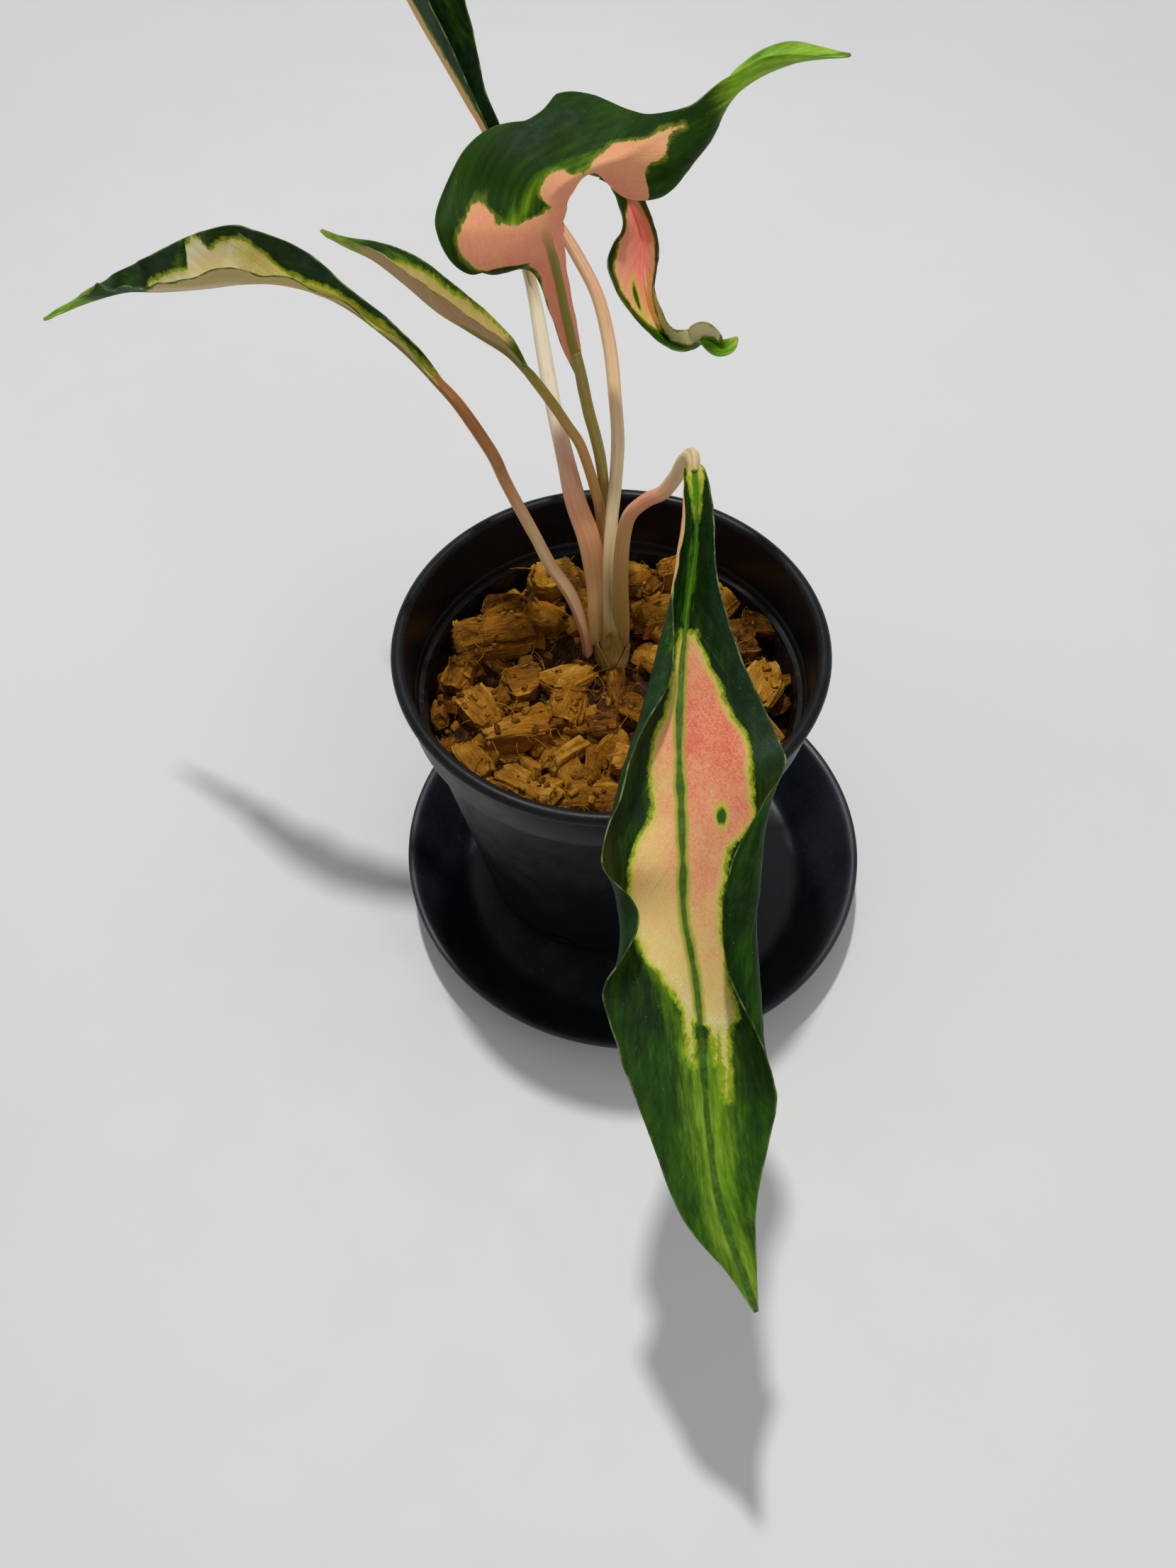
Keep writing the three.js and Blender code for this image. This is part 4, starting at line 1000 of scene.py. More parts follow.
def leaf_midrib(made, fields, look, upper, colour):
    """The midrib: green with a yellow edge above, olive towards the foot below."""
    wander = made.maths("MULTIPLY_ADD", made.noise(fields["place"], 0.16, 2), 1.3, -0.65)
    rib = made.maths("ADD", made.maths("ABSOLUTE", made.number("across")), wander)
    along = made.number("tip")
    if not upper:
        foot = made.maths("MULTIPLY", made.span(rib, 1.8, 0.9), made.span(along, 0.34, 0.26))
        return made.mix(foot, colour, FOOT_OLIVE)
    strength = 0.9 * look["rib"]
    in_pale = made.maths("MULTIPLY", made.span(fields["pale"], 0.2, 1.4), strength)
    colour = made.mix(made.maths("MULTIPLY", made.span(rib, 1.9, 0.9), in_pale), colour, RIB_YELLOW)
    core = made.maths("MULTIPLY", made.span(rib, 0.95, 0.45), strength)
    colour = made.mix(core, colour, made.ramp(fields["ragged"], RIB_GREENS))
    head = made.maths("MULTIPLY", made.span(along, 0.26, 0.2), made.span(rib, 2.2, 0.8))
    head = made.maths("MULTIPLY", head, strength)
    return made.mix(made.maths("MULTIPLY", head, made.span(fields["streaks"], 0.4, 0.56)), colour, HEAD_GREEN)


def leaf_rim_highlight_and_flecks(made, place, colour):
    """A painted highlight along the rim, in stretches, and small pale flecks."""
    rim = made.span(made.number("from_rim"), 0.3, 0.08)
    # Painted highlight along the rim, shown in stretches
    highlight_stretches = made.span(made.noise(place, 0.3, 2), 0.45, 0.65, 0.1, 0.7)
    colour = made.mix(made.maths("MULTIPLY", rim, highlight_stretches), colour, RIM_HIGHLIGHT)
    flecks = made.span(made.cells(place, 0.75), 0.12, 0.04)
    keep = made.span(made.noise(place, 0.5, 1), 0.55, 0.62)
    return made.mix(made.maths("MULTIPLY", made.maths("MULTIPLY", flecks, keep), 0.3), colour, FLECK_PALE)


def blade_material(name, upper):
    """Blade surface: green with rose, cream and lime variegation and fine veins."""
    look = LEAF_LOOKS[name]
    made = Finish(f"leaf_{name}_{'upper' if upper else 'under'}")
    fields = leaf_fields(made)
    place, pale = fields["place"], fields["pale"]
    colour = leaf_green(made, fields, look, upper)
    ring = look["ring"] if upper else RING_SHARE_UNDER * look["ring"]
    ring = made.maths("MULTIPLY", made.span(pale, -1.3, -0.3), ring)
    colour = made.mix(ring, colour, made.ramp(fields["ragged"], RING_YELLOWS))
    colour = made.mix(made.span(pale, -0.25, 0.35), colour, leaf_rose(made, fields, look, upper))
    colour = leaf_marks(made, fields, colour)
    colour = leaf_midrib(made, fields, look, upper, colour)
    colour = leaf_rim_highlight_and_flecks(made, place, colour)
    smooth, rough = (0.34, 0.5) if upper else (0.46, 0.6)
    roughness = made.span(made.noise(place, 0.7, 3), 0.2, 0.8, smooth, rough)
    lines = made.noise(made.scaled(made.vector("vein_place"), 1.0, 0.4, 1.0), 2.2, 2, 0.6)
    normal = made.bump(lines, 0.16, 0.7)
    normal = made.bump(made.noise(place, 5.0, 3, 0.6), 0.07, 0.7, normal)
    return made.done(
        colour, roughness, normal, Specular_IOR_Level=0.17 if upper else 0.08, Subsurface_Weight=0.08,
        Subsurface_Radius=(0.0016, 0.0012, 0.0005), Subsurface_Scale=1.0,
    )


# Stalk colours from foot to head, as share of the length and a screen colour, then
# how wide the wings of the sheath are at the foot and where they end
STALK_LOOKS = {
    "front": {
        "stops": [
            (0, (150, 126, 66)), (0.15, (180, 146, 74)), (0.35, (212, 164, 104)), (0.52, (228, 150, 112)),
            (0.62, (228, 182, 140)), (0.75, (232, 206, 160)), (1, (206, 176, 124)),
        ],
        "wing": 0.7, "wing_end": 0.45,
    },
    "left": {
        "stops": [
            (0, (170, 140, 84)), (0.1, (214, 136, 98)), (0.3, (232, 186, 140)), (0.5, (240, 204, 152)),
            (0.68, (206, 146, 96)), (0.85, (172, 110, 52)), (1, (160, 98, 44)),
        ],
        "wing": 0.5, "wing_end": 0.5,
    },
    "left_small": {
        "stops": [
            (0, (124, 112, 44)), (0.2, (160, 140, 62)), (0.4, (196, 152, 84)), (0.6, (200, 150, 84)),
            (0.8, (168, 142, 52)), (1, (134, 134, 44)),
        ],
        "wing": 0.5, "wing_end": 0.3,
    },
    "centre": {
        "stops": [
            (0, (128, 118, 44)), (0.2, (150, 132, 54)), (0.45, (178, 154, 76)), (0.7, (166, 148, 66)),
            (1, (156, 134, 62)),
        ],
        "wing": 0.4, "wing_end": 0.4,
    },
    "right": {
        "stops": [
            (0, (140, 122, 54)), (0.12, (176, 150, 84)), (0.25, (224, 196, 146)), (0.45, (236, 212, 166)),
            (0.62, (230, 192, 146)), (0.8, (224, 170, 128)), (1, (214, 140, 108)),
        ],
        "wing": 0.5, "wing_end": 0.35,
    },
    "back": {
        "stops": [
            (0, (150, 122, 64)), (0.12, (204, 164, 96)), (0.26, (232, 182, 122)), (0.42, (236, 166, 122)),
            (0.6, (232, 190, 160)), (0.72, (242, 226, 200)), (0.9, (240, 226, 190)), (1, (214, 176, 110)),
        ],
        "wing": 0.75, "wing_end": 0.62,
    },
}
STALK_RINGS = 150
STALK_AROUND = 36
CHANNEL_DEPTH = 0.22
CHANNEL_WIDTH = 0.42
WING_ANGLE = 1.25
WING_SPREAD = 0.22
WING_TAPER = 0.7
FINE_RIBS = 9
FINE_RIB_HEIGHT = 0.025
SWELLS = 14
SWELL_HEIGHT = 0.05
GRAIN_RADIUS = 1.7
STALK_SEED_STEP = 3.1


def make_stalk(name, order):
    """One leaf stalk with a channel along its inner side and sheath wings at its foot."""
    rows = np.array(STALKS[name], dtype=float)
    look = STALK_LOOKS[name]
    table = np.array([smooth_row(rows, step / STALK_RINGS) for step in range(STALK_RINGS + 1)])
    centres = table[:, :3]
    lean = rows[-1, :3] - rows[0, :3]
    along, inner = carried_side(centres, np.array([-lean[0], -lean[1], 0.0]))
    cross = np.cross(along, inner)
    reaches = np.linspace(0, 1, STALK_RINGS + 1)
    angles = np.linspace(-np.pi, np.pi, STALK_AROUND, endpoint=False)
    reach, angle = np.meshgrid(reaches, angles, indexing="ij")
    wing = look["wing"] * np.clip(1 - reach / look["wing_end"], 0, 1) ** WING_TAPER
    wing *= np.exp(-(((np.abs(angle) - WING_ANGLE) / WING_SPREAD) ** 2))
    channel = CHANNEL_DEPTH * np.exp(-((angle / CHANNEL_WIDTH) ** 2))
    ribbing = FINE_RIB_HEIGHT * np.cos(FINE_RIBS * angle)
    swell = SWELL_HEIGHT * smooth_noise(reach * SWELLS, np.cos(angle), SEED + STALK_SEED_STEP * order)
    radius = table[:, 3:4] * (1 - channel - ribbing + wing + swell)
    points = centres[:, None] + inner[:, None] * (radius * np.cos(angle))[:, :, None]
    points = points + cross[:, None] * (radius * np.sin(angle))[:, :, None]
    mesh = new_mesh("stalk_" + name, points.reshape(-1, 3), closed_tube(STALK_RINGS + 1, STALK_AROUND))
    length = np.linalg.norm(np.diff(centres, axis=0), axis=1).sum()
    place = [np.cos(angle) * GRAIN_RADIUS, np.sin(angle) * GRAIN_RADIUS, reach * length]
    add_values(mesh, "reach", reach.ravel())
    add_values(mesh, "wing", wing.ravel())
    add_vectors(mesh, "stalk_place", np.stack(place, axis=-1).reshape(-1, 3))
    piece = link_object("petiole_" + name, mesh, [stalk_material("petiole_" + name, look["stops"], order)])
    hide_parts("stalk_" + name)


def stalk_material(name, stops, order):
    """Fleshy stalk: its colours along it, fine lengthwise fibres and faint flecks."""
    made = Finish(name)
    moved = (made.vector("stalk_place"), (order * 11.0, 0, 0))
    place = made.node("VectorMath", moved, operation="ADD").outputs[0]
    fibres = made.noise(made.scaled(place, 1.0, 1.0, 0.06), 2.4, 3, 0.6)
    clouds = made.noise(made.scaled(place, 0.5, 0.5, 0.12), 1.0, 3)
    reach = made.maths("MULTIPLY_ADD", made.maths("SUBTRACT", clouds, 0.5), 0.16, made.number("reach"))
    colour = made.ramp(reach, stops)
    colour = made.mix(made.span(fibres, 0.55, 0.8, 0.0, 0.35), colour, (120, 112, 44))
    colour = made.mix(made.span(fibres, 0.45, 0.2, 0.0, 0.4), colour, (244, 226, 190))
    flecks = made.span(made.cells(made.scaled(place, 1.0, 1.0, 0.3), 1.6), 0.14, 0.04, 0.0, 0.35)
    colour = made.mix(flecks, colour, (150, 96, 52))
    colour = made.mix(made.span(made.number("wing"), 0.1, 0.6, 0.0, 0.45), colour, (206, 176, 108))
    normal = made.bump(fibres, 0.14, 0.7)
    roughness = made.span(clouds, 0.3, 0.7, 0.36, 0.5)
    return made.done(
        colour, roughness, normal, Specular_IOR_Level=0.3, Subsurface_Weight=0.15,
        Subsurface_Radius=(0.003, 0.002, 0.001), Subsurface_Scale=1.0,
    )


# Cane and the old sheaths round the stalks' feet
CANE_AT = (0.6, 12.6)
CANE_PROFILE = [
    (0, 62), (3.6, 62), (3.9, 70), (4.3, 76), (4.0, 77), (4.4, 82), (4.6, 84), (4.3, 85), (4.5, 89),
    (4.6, 92), (4.2, 95.2), (3.4, 97), (1.8, 98), (0, 98.2),
]
CANE_SEGMENTS = 64
SHEATHS = [
    {"foot": 84, "top": 102, "radius": 4.5, "middle": -95, "width": 210, "flare": -0.4},
    {"foot": 84, "top": 100, "radius": 5.0, "middle": 60, "width": 200, "flare": -0.3},
    {"foot": 84, "top": 98, "radius": 5.1, "middle": -165, "width": 170, "flare": -0.2},
    {"foot": 84, "top": 95, "radius": 5.2, "middle": -25, "width": 130, "flare": 0.1},
]
SHEATH_RINGS = 30
SHEATH_COLUMNS = 40
SHEATH_THICKNESS = 0.35
SHEATH_NARROWING = 0.92
SHEATH_WANDER = 0.35
SHEATH_RAGGED = 1.2
SHEATH_RIB_HEIGHT = 0.1
SHEATH_RIBS = 22
SHEATH_SEED_STEP = 4.7
CANE_SWELL = 0.06
# A root's places from its head, as height and distance from the cane's axis
ROOT_ROWS = [(68, 1.5), (58, 5.5), (46, 9.2), (36, 7.6)]
ROOTS = 7
ROOT_TURN = 0.4
ROOT_STEPS = 24
ROOT_SIDES = 12
ROOT_RADIUS = 1.5
ROOT_THINNING = 0.6
TUBE_SIDE = (0.31, 0.52, 0.8)


def sheath_point(sheath, rise, across, inset, seed):
    """A point of a sheath, by its share of the height and of the half width."""
    half = math.radians(sheath["width"] / 2) * (1 - SHEATH_NARROWING * rise**1.6)
    angle = math.radians(sheath["middle"]) + half * across
    wander = noise.noise(Vector((across * 2.5, rise * 3, seed)))
    radius = sheath["radius"] + sheath["flare"] * rise + SHEATH_WANDER * wander - inset
    radius += SHEATH_RIB_HEIGHT * math.cos(SHEATH_RIBS * across)
    height = sheath["foot"] + (sheath["top"] - sheath["foot"]) * rise + SHEATH_RAGGED * wander * rise
    return CANE_AT[0] + radius * math.cos(angle), CANE_AT[1] + radius * math.sin(angle), height


def sheath_part(sheath, seed):
    """A thin curved scale that clasps the stalks' feet, drawn up to a ragged point."""
    points = [
        sheath_point(sheath, i / SHEATH_RINGS, 2 * j / SHEATH_COLUMNS - 1, inset, seed)
        for inset in (0.0, SHEATH_THICKNESS)
        for i in range(SHEATH_RINGS + 1)
        for j in range(SHEATH_COLUMNS + 1)
    ]
    wide = SHEATH_COLUMNS + 1
    inner = len(points) // 2
    faces = []
    for i in range(SHEATH_RINGS):
        for j in range(SHEATH_COLUMNS):
            a = i * wide + j
            faces.append((a, a + 1, a + wide + 1, a + wide))
            faces.append((inner + a + wide, inner + a + wide + 1, inner + a + 1, inner + a))
        for column, flip in ((0, 1), (SHEATH_COLUMNS, -1)):
            a = i * wide + column
            faces.append((a, a + wide, inner + a + wide, inner + a)[::flip])
    for row, flip in ((0, -1), (SHEATH_RINGS, 1)):
        for j in range(SHEATH_COLUMNS):
            a = row * wide + j
            faces.append((a, a + 1, inner + a + 1, inner + a)[::flip])
    return points, faces


def tube_part(centres, radii, sides):
    """A thin round strand along some places."""
    line = np.array(centres, dtype=float)
    _, side = carried_side(line, TUBE_SIDE)
    along = np.gradient(line, axis=0)
    along /= np.linalg.norm(along, axis=1)[:, None]
    other = np.cross(along, side)
    points = []
    for index, place in enumerate(line):
        for n in range(sides):
            angle = 2 * math.pi * n / sides
            offset = side[index] * math.cos(angle) + other[index] * math.sin(angle)
            points.append(tuple(place + offset * radii[index]))
    return points, closed_tube(len(line), sides)


def root_part(angle):
    """One root, which grows down and outwards from the cane's foot."""
    rows = [
        np.array([CANE_AT[0] + out * math.cos(angle), CANE_AT[1] + out * math.sin(angle), height])
        for height, out in ROOT_ROWS
    ]
    shares = [step / ROOT_STEPS for step in range(ROOT_STEPS + 1)]
    radii = [ROOT_RADIUS - ROOT_THINNING * share for share in shares]
    return tube_part([smooth_row(rows, share) for share in shares], radii, ROOT_SIDES)


def make_cane():
    """The short cane with its sheaths and the roots below it."""
    points, rings = turned_rings(CANE_PROFILE, CANE_SEGMENTS)
    shaped = []
    for x, y, z in points:
        swell = 1 + CANE_SWELL * noise.noise(Vector((x * 0.5, y * 0.5, z * 0.25)))
        shaped.append((CANE_AT[0] + x * swell, CANE_AT[1] + y * swell, z))
    parts = [(shaped, join_rings(rings))]
    parts += [sheath_part(sheath, SEED + SHEATH_SEED_STEP * index) for index, sheath in enumerate(SHEATHS)]
    parts += [root_part(2 * math.pi * index / ROOTS + ROOT_TURN) for index in range(ROOTS)]
    mesh = new_mesh("cane", *merge_parts(parts))
    piece = link_object("cane_with_sheaths", mesh, [cane_material()])
    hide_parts("cane_and_roots")


def cane_material():
    """Olive to tan stem with lengthwise fibres."""
    made = Finish("cane_olive")
    where = made.node("TexCoord").outputs["Object"]
    fibres = made.noise(made.scaled(where, 1.0, 1.0, 0.12), 900, 3, 0.6)
    clouds = made.noise(where, 160, 4, 0.6)
    colour = made.ramp(clouds, [(0.3, (148, 118, 48)), (0.5, (176, 144, 72)), (0.7, (204, 172, 102))])
    colour = made.mix(made.span(fibres, 0.55, 0.75, 0.0, 0.4), colour, (128, 102, 46))
    normal = made.bump(fibres, 0.2, 0.8)
    return made.done(colour, made.span(clouds, 0.3, 0.7, 0.5, 0.72), normal, Specular_IOR_Level=0.35)


# Husk chips that show on top: x, y of the middle, length, width, height, turn about
# the upright axis, tilt, and how far the middle lies above the bed
CHIPS = [
    (-44, 4, 14, 9, 8, 80, 12, 2), (-34, 17, 23, 13, 10, 15, 8, 3), (-31, 31, 15, 9, 7, 20, -10, 2),
    (-17, 39, 14, 9, 16, 30, 15, 4), (-20, 26, 14, 8, 7, -30, 10, 2), (-12, 2, 16, 9, 7, 35, 8, 0),
    (-12, -8, 13, 11, 8, 70, -8, 2), (-25, 0, 11, 10, 7, 20, 10, 2), (-37, -8, 13, 11, 8, -50, 12, 2),
    (-26, -16, 19, 12, 8, 10, -12, 3), (-38, -24, 12, 8, 7, -60, 10, 1), (-23, -36, 19, 8, 8, -30, 8, 2),
    (-12, -25, 16, 5, 5, 40, 10, 3), (-7, -39, 17, 9, 7, 0, 6, 2), (-2, -15, 11, 9, 7, 15, -10, 2),
    (9, -10, 14, 10, 7, -20, 10, 2), (7, -27, 16, 8, 7, 5, 8, 2), (10, 37, 13, 10, 12, 40, 14, 3),
    (20, 42, 10, 7, 16, 10, 10, 5), (15, 25, 14, 11, 9, 30, 12, 3), (36, 14, 13, 11, 9, 15, 8, 3),
    (33, 30, 12, 10, 9, 50, 12, 3), (45, 22, 12, 7, 5, -10, 15, 3), (43, -2, 15, 12, 9, 60, 6, 3),
    (41, -18, 12, 9, 7, -60, 8, 1), (25, 7, 14, 11, 8, -40, 10, 2), (26, -16, 15, 11, 8, 20, -8, 2),
    (24, -34, 16, 10, 7, 30, 8, 2),
]
CHIP_FIT = (0.98, 0.98, 0.96)
CHIP_FIRST_SEED = 11.7
CHIP_SEED_STEP = 5.3
CHIP_ROLL_SHARE = 0.7
HUSK_TOP = 86
HUSK_MOUND = 3
HUSK_BUMP = 1.6
HUSK_FOOT = 5.7
HUSK_FOOT_ROUND = 1.2
HUSK_FOOT_INSET = 1.4
MOUND_RADIUS = 50
CHIP_CUTS = 6
CHIP_CHUNK = 9.0
# Rings and points round them, for the chips on top, those between them and the crumbs
CHIP_MESH = (52, 60)
FILLER_MESH = (20, 24)
CRUMB_MESH = (7, 8)
CHIP_SEED_RANGE = (0, 90)
FILLER_CHIPS = 180
FILLER_REACH = 51
FILLER_SIZES = ((7, 14), (4, 8.5), (3, 5.5))
FILLER_TURNS = ((-35, 35), (-30, 30), (0, 360))
FILLER_LIFT = (-1.8, 1.2)
FILLER_FROM_CANE = 8
CRUMBS = 420
CRUMB_REACH = 51
CRUMB_LENGTH = (0.9, 3.2)
CRUMB_SHARES = ((0.35, 0.8), (0.3, 0.7))
CRUMB_TURNS = ((-60, 60), (-40, 40), (0, 360))
CRUMB_LIFT = 0.15
LOOSE_FROM_CANE = 7
ABOVE_HUSK = 140
FIBRES = 620
FIBRE_REACH = 50
FIBRE_LENGTH = (3, 13)
FIBRE_RISE = (-0.1, 0.45)
FIBRE_CURVE = 1.6
FIBRE_FALL = 1.7
FIBRE_RADIUS = (0.07, 0.17)
FIBRE_THINNING = 0.06
FIBRE_SUNK = 0.3
FIBRE_ROOM = 0.2
FIBRE_STEPS = 8
FIBRE_SIDES = 4
FIBRE_TONE = (0.3, 1)
BED_RINGS = 84
BED_SEGMENTS = 200
BED_BELOW = 1.6
BED_SINK = 4.5
BED_SINK_FROM = 0.8
WALL_TOP_RADIUS = 52.4
WALL_TOP_Z = 86
WALL_FOOT_RADIUS = 41.6
WALL_FOOT_Z = 8.4
WALL_CLEARANCE = 0.35
WALL_CURVE_Z = 4


def inner_radius(z):
    """Radius of the pot's inner wall at a height."""
    share = (z - WALL_FOOT_Z) / (WALL_TOP_Z - WALL_FOOT_Z)
    return WALL_FOOT_RADIUS + (WALL_TOP_RADIUS - WALL_FOOT_RADIUS) * share - WALL_CLEARANCE


def husk_height(x, y):
    """Height of the husk bed above the table."""
    share = min(1.0, math.hypot(x, y) / MOUND_RADIUS)
    bumps = math.sin(x * 0.42 + 0.7) * math.sin(y * 0.38 - 0.4) + 0.5 * math.sin(x * 0.21 - y * 0.3)
    return HUSK_TOP + HUSK_MOUND * (1 - share * share) + HUSK_BUMP * bumps * (1 - share**8)


def blocky(value, power):
    """A cosine or sine made squarer."""
    return math.copysign(abs(value) ** power, value)


def chip_cuts(half, seed):
    """Planes that cut a chip's corners off: the way each faces and how far out it is."""
    cuts = []
    for n in range(CHIP_CUTS):
        facing = noise.noise_vector(Vector((seed * 7.3, n * 5.1, 1.7))).normalized()
        reach = sum(abs(facing[k]) * half[k] for k in range(3))
        cuts.append((facing, reach * (0.66 + 0.2 * noise.noise(Vector((seed, n * 3.3, 6))))))
    return cuts


def torn_point(place, outward, chunk, seed):
    """A chip's point bent, with its fibres in relief and its ends torn, and that relief."""
    bend = noise.noise_vector(Vector((place.x * 0.1, place.y * 0.12, place.z * 0.12 + seed)))
    fibre = noise.noise(Vector((place.x * 0.05, place.y * 0.8 + seed, place.z * 0.8)))
    fine = noise.noise(Vector((place.x * 0.1, place.y * 1.9, place.z * 1.9 + seed)))
    torn = noise.noise(Vector((seed, place.y * 1.2, place.z * 1.2)))
    relief = 0.9 * fibre + 0.5 * fine
    x, y, z = outward
    moved = place + bend * 1.3 * chunk + Vector((0.1 * x, y, z)) * relief * chunk
    moved.x += 2.4 * chunk * torn * abs(x) ** 6 * (1 if x > 0 else -1)
    return moved, relief


def chip_part(size, turn, seed, rings, around):
    """A torn, angular block of husk: points, faces, fibre places and how low each point lies."""
    half = Vector(size) / 2
    squareness = 0.2 + 0.08 * noise.noise(Vector((seed, 1.7, 0)))
    taper = 0.45 * noise.noise(Vector((seed, 9.1, 3)))
    chunk = min(size[1], size[2], CHIP_CHUNK) / CHIP_CHUNK
    cuts = chip_cuts(half, seed)
    points, places, lows, loops = [], [], [], []
    for i in range(rings + 1):
        angle = math.pi * i / rings
        at_end = i in (0, rings)
        x = -blocky(math.cos(angle), squareness)
        rim = 0.0 if at_end else blocky(math.sin(angle), squareness)
        count = 1 if at_end else around
        start = len(points)
        for j in range(count):
            phi = 2 * math.pi * j / around
            y = rim * blocky(math.cos(phi), 0.3)
            z = rim * blocky(math.sin(phi), 0.3)
            place = Vector((x * half.x, y * half.y * (1 + taper * x), z * half.z * (1 - 0.6 * taper * x)))
            for facing, reach in cuts:
                place -= facing * max(0.0, place.dot(facing) - reach)
            moved, relief = torn_point(place, (x, y, z), chunk, seed)
            points.append(moved)
            places.append((place.x + seed * 3.1, place.y, place.z))
            lows.append(-relief)
        loops.append([start] * around if at_end else list(range(start, start + count)))
    about_x, about_y, about_z = (
        Matrix.Rotation(math.radians(degrees), 3, axis) for degrees, axis in zip(turn, "XYZ")
    )
    spin = about_z @ about_y @ about_x
    return [spin @ point for point in points], join_rings(loops), places, lows


def chip_outline_in_pot(points, middle):
    """Points moved to their place, and held inside the pot's wall."""
    held = []
    for point in points:
        x, y, z = point.x + middle[0], point.y + middle[1], point.z + middle[2]
        reach = math.hypot(x, y)
        most = inner_radius(min(z, WALL_TOP_Z + WALL_CURVE_Z))
        if reach > most:
            x, y = x * most / reach, y * most / reach
        held.append((x, y, z))
    return held


def laid_chip(size, turn, seed, fineness, middle):
    """A chip at its place in the pot."""
    points, faces, places, lows = chip_part(size, turn, seed, *fineness)
    return chip_outline_in_pot(points, middle), faces, places, lows


def husk_piece(name, parts, material):
    """One or several chips as a piece, with fibre places and a tone for each chip."""
    mesh = new_mesh(name, *merge_parts([part[:2] for part in parts]))
    add_vectors(mesh, "chip_place", [place for part in parts for place in part[2]])
    add_values(mesh, "chip_low", [low for part in parts for low in part[3]])
    add_values(mesh, "chip_tone", [part[4] for part in parts for _ in part[0]])
    piece = link_object(name, mesh, [material])
    return piece


def from_cane(x, y):
    """Distance from the cane's axis."""
    return math.hypot(x - CANE_AT[0], y - CANE_AT[1])


def draw(dice, spans):
    """A random number from each of some spans."""
    return tuple(dice.uniform(*span) for span in spans)


def make_chips(dice, finish):
    """The chips on top, each a piece of its own."""
    parts = []
    for index, (x, y, length, width, height, turn, tilt, lift) in enumerate(CHIPS):
        size = [side * fit for side, fit in zip((length, width, height), CHIP_FIT)]
        seed = CHIP_FIRST_SEED + CHIP_SEED_STEP * index
        middle = (x, y, husk_height(x, y) + lift)
        part = laid_chip(size, (tilt, tilt * CHIP_ROLL_SHARE, turn), seed, CHIP_MESH, middle)
        parts.append((*part, dice.random()))
        piece = husk_piece(f"chip_{index + 1:02d}", parts[-1:], finish)
        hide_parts(f"husk_chip_{index + 1:02d}")
    return parts


def filler_parts(dice):
    """Smaller chips between the large ones."""
    parts = []
    for _ in range(FILLER_CHIPS):
        x, y = draw(dice, [(-FILLER_REACH, FILLER_REACH)] * 2)
        if math.hypot(x, y) > MOUND_RADIUS or from_cane(x, y) < FILLER_FROM_CANE:
            continue
        size = draw(dice, FILLER_SIZES)
        turn = draw(dice, FILLER_TURNS)
        seed = dice.uniform(*CHIP_SEED_RANGE)
        middle = (x, y, husk_height(x, y) + dice.uniform(*FILLER_LIFT))
        parts.append((*laid_chip(size, turn, seed, FILLER_MESH, middle), dice.random()))
    return parts


def landing(dice, ground, reach):
    """A random place on the husk away from the cane, and the way the husk faces there."""
    while True:
        x, y = draw(dice, [(-reach, reach)] * 2)
        if math.hypot(x, y) < reach and from_cane(x, y) > LOOSE_FROM_CANE:
            place, facing, _, _ = ground.ray_cast(Vector((x, y, ABOVE_HUSK)), Vector((0, 0, -1)))
            if place is not None:
                return place, facing


def crumb_parts(dice, ground):
    """Crumbs of husk that lie on the chips."""
    parts = []
    for _ in range(CRUMBS):
        place, _ = landing(dice, ground, CRUMB_REACH)
        length = dice.uniform(*CRUMB_LENGTH)
        size = (length, *(length * share for share in draw(dice, CRUMB_SHARES)))
        turn = draw(dice, CRUMB_TURNS)
        seed = dice.uniform(*CHIP_SEED_RANGE)
        middle = (place.x, place.y, place.z + CRUMB_LIFT * length)
        parts.append((*laid_chip(size, turn, seed, CRUMB_MESH, middle), dice.random()))
    return parts


def fibre_parts(dice, ground):
    """Loose curved fibres that lie on the chips."""
    parts = []
    steps = range(FIBRE_STEPS + 1)
    for _ in range(FIBRES):
        place, facing = landing(dice, ground, FIBRE_REACH)
        heading = dice.uniform(0, 2 * math.pi)
        length = dice.uniform(*FIBRE_LENGTH) * dice.uniform(0.5, 1)
        rise = dice.uniform(*FIBRE_RISE)
        curve = dice.uniform(-FIBRE_CURVE, FIBRE_CURVE)
        centres = []
        spot = place - facing * FIBRE_SUNK
        for step in steps:
            centres.append(tuple(spot))
            share = step / FIBRE_STEPS
            way = heading + curve * share
            ahead = Vector((math.cos(way), math.sin(way), rise * (1 - FIBRE_FALL * share)))
            spot = spot + ahead * (length / FIBRE_STEPS)
        radius = dice.uniform(*FIBRE_RADIUS)
        radii = [radius * (1 - FIBRE_THINNING * step) for step in steps]
        points, faces = tube_part(centres, radii, FIBRE_SIDES)
        reach = max(math.hypot(point[0], point[1]) for point in points)
        if reach > inner_radius(WALL_TOP_Z) - FIBRE_ROOM:
            continue
        places = [(index * 0.4, 0, heading * 9) for index in range(len(points))]
        parts.append((points, faces, places, [0.0] * len(points), dice.uniform(*FIBRE_TONE)))
    return parts


def make_husk():
    """The bed, the chips on it, smaller chips and crumbs between them, and loose fibres."""
    dice = random.Random(SEED)
    finish = chip_material()
    chips = make_chips(dice, finish)
    bed = bed_part()
    make_bed(bed)
    ground = BVHTree.FromPolygons(*merge_parts([part[:2] for part in chips] + [bed]))
    husk_piece("chips_between", filler_parts(dice), finish)
    husk_piece("crumbs", crumb_parts(dice, ground), finish)
    husk_piece("loose_fibres", fibre_parts(dice, ground), finish)


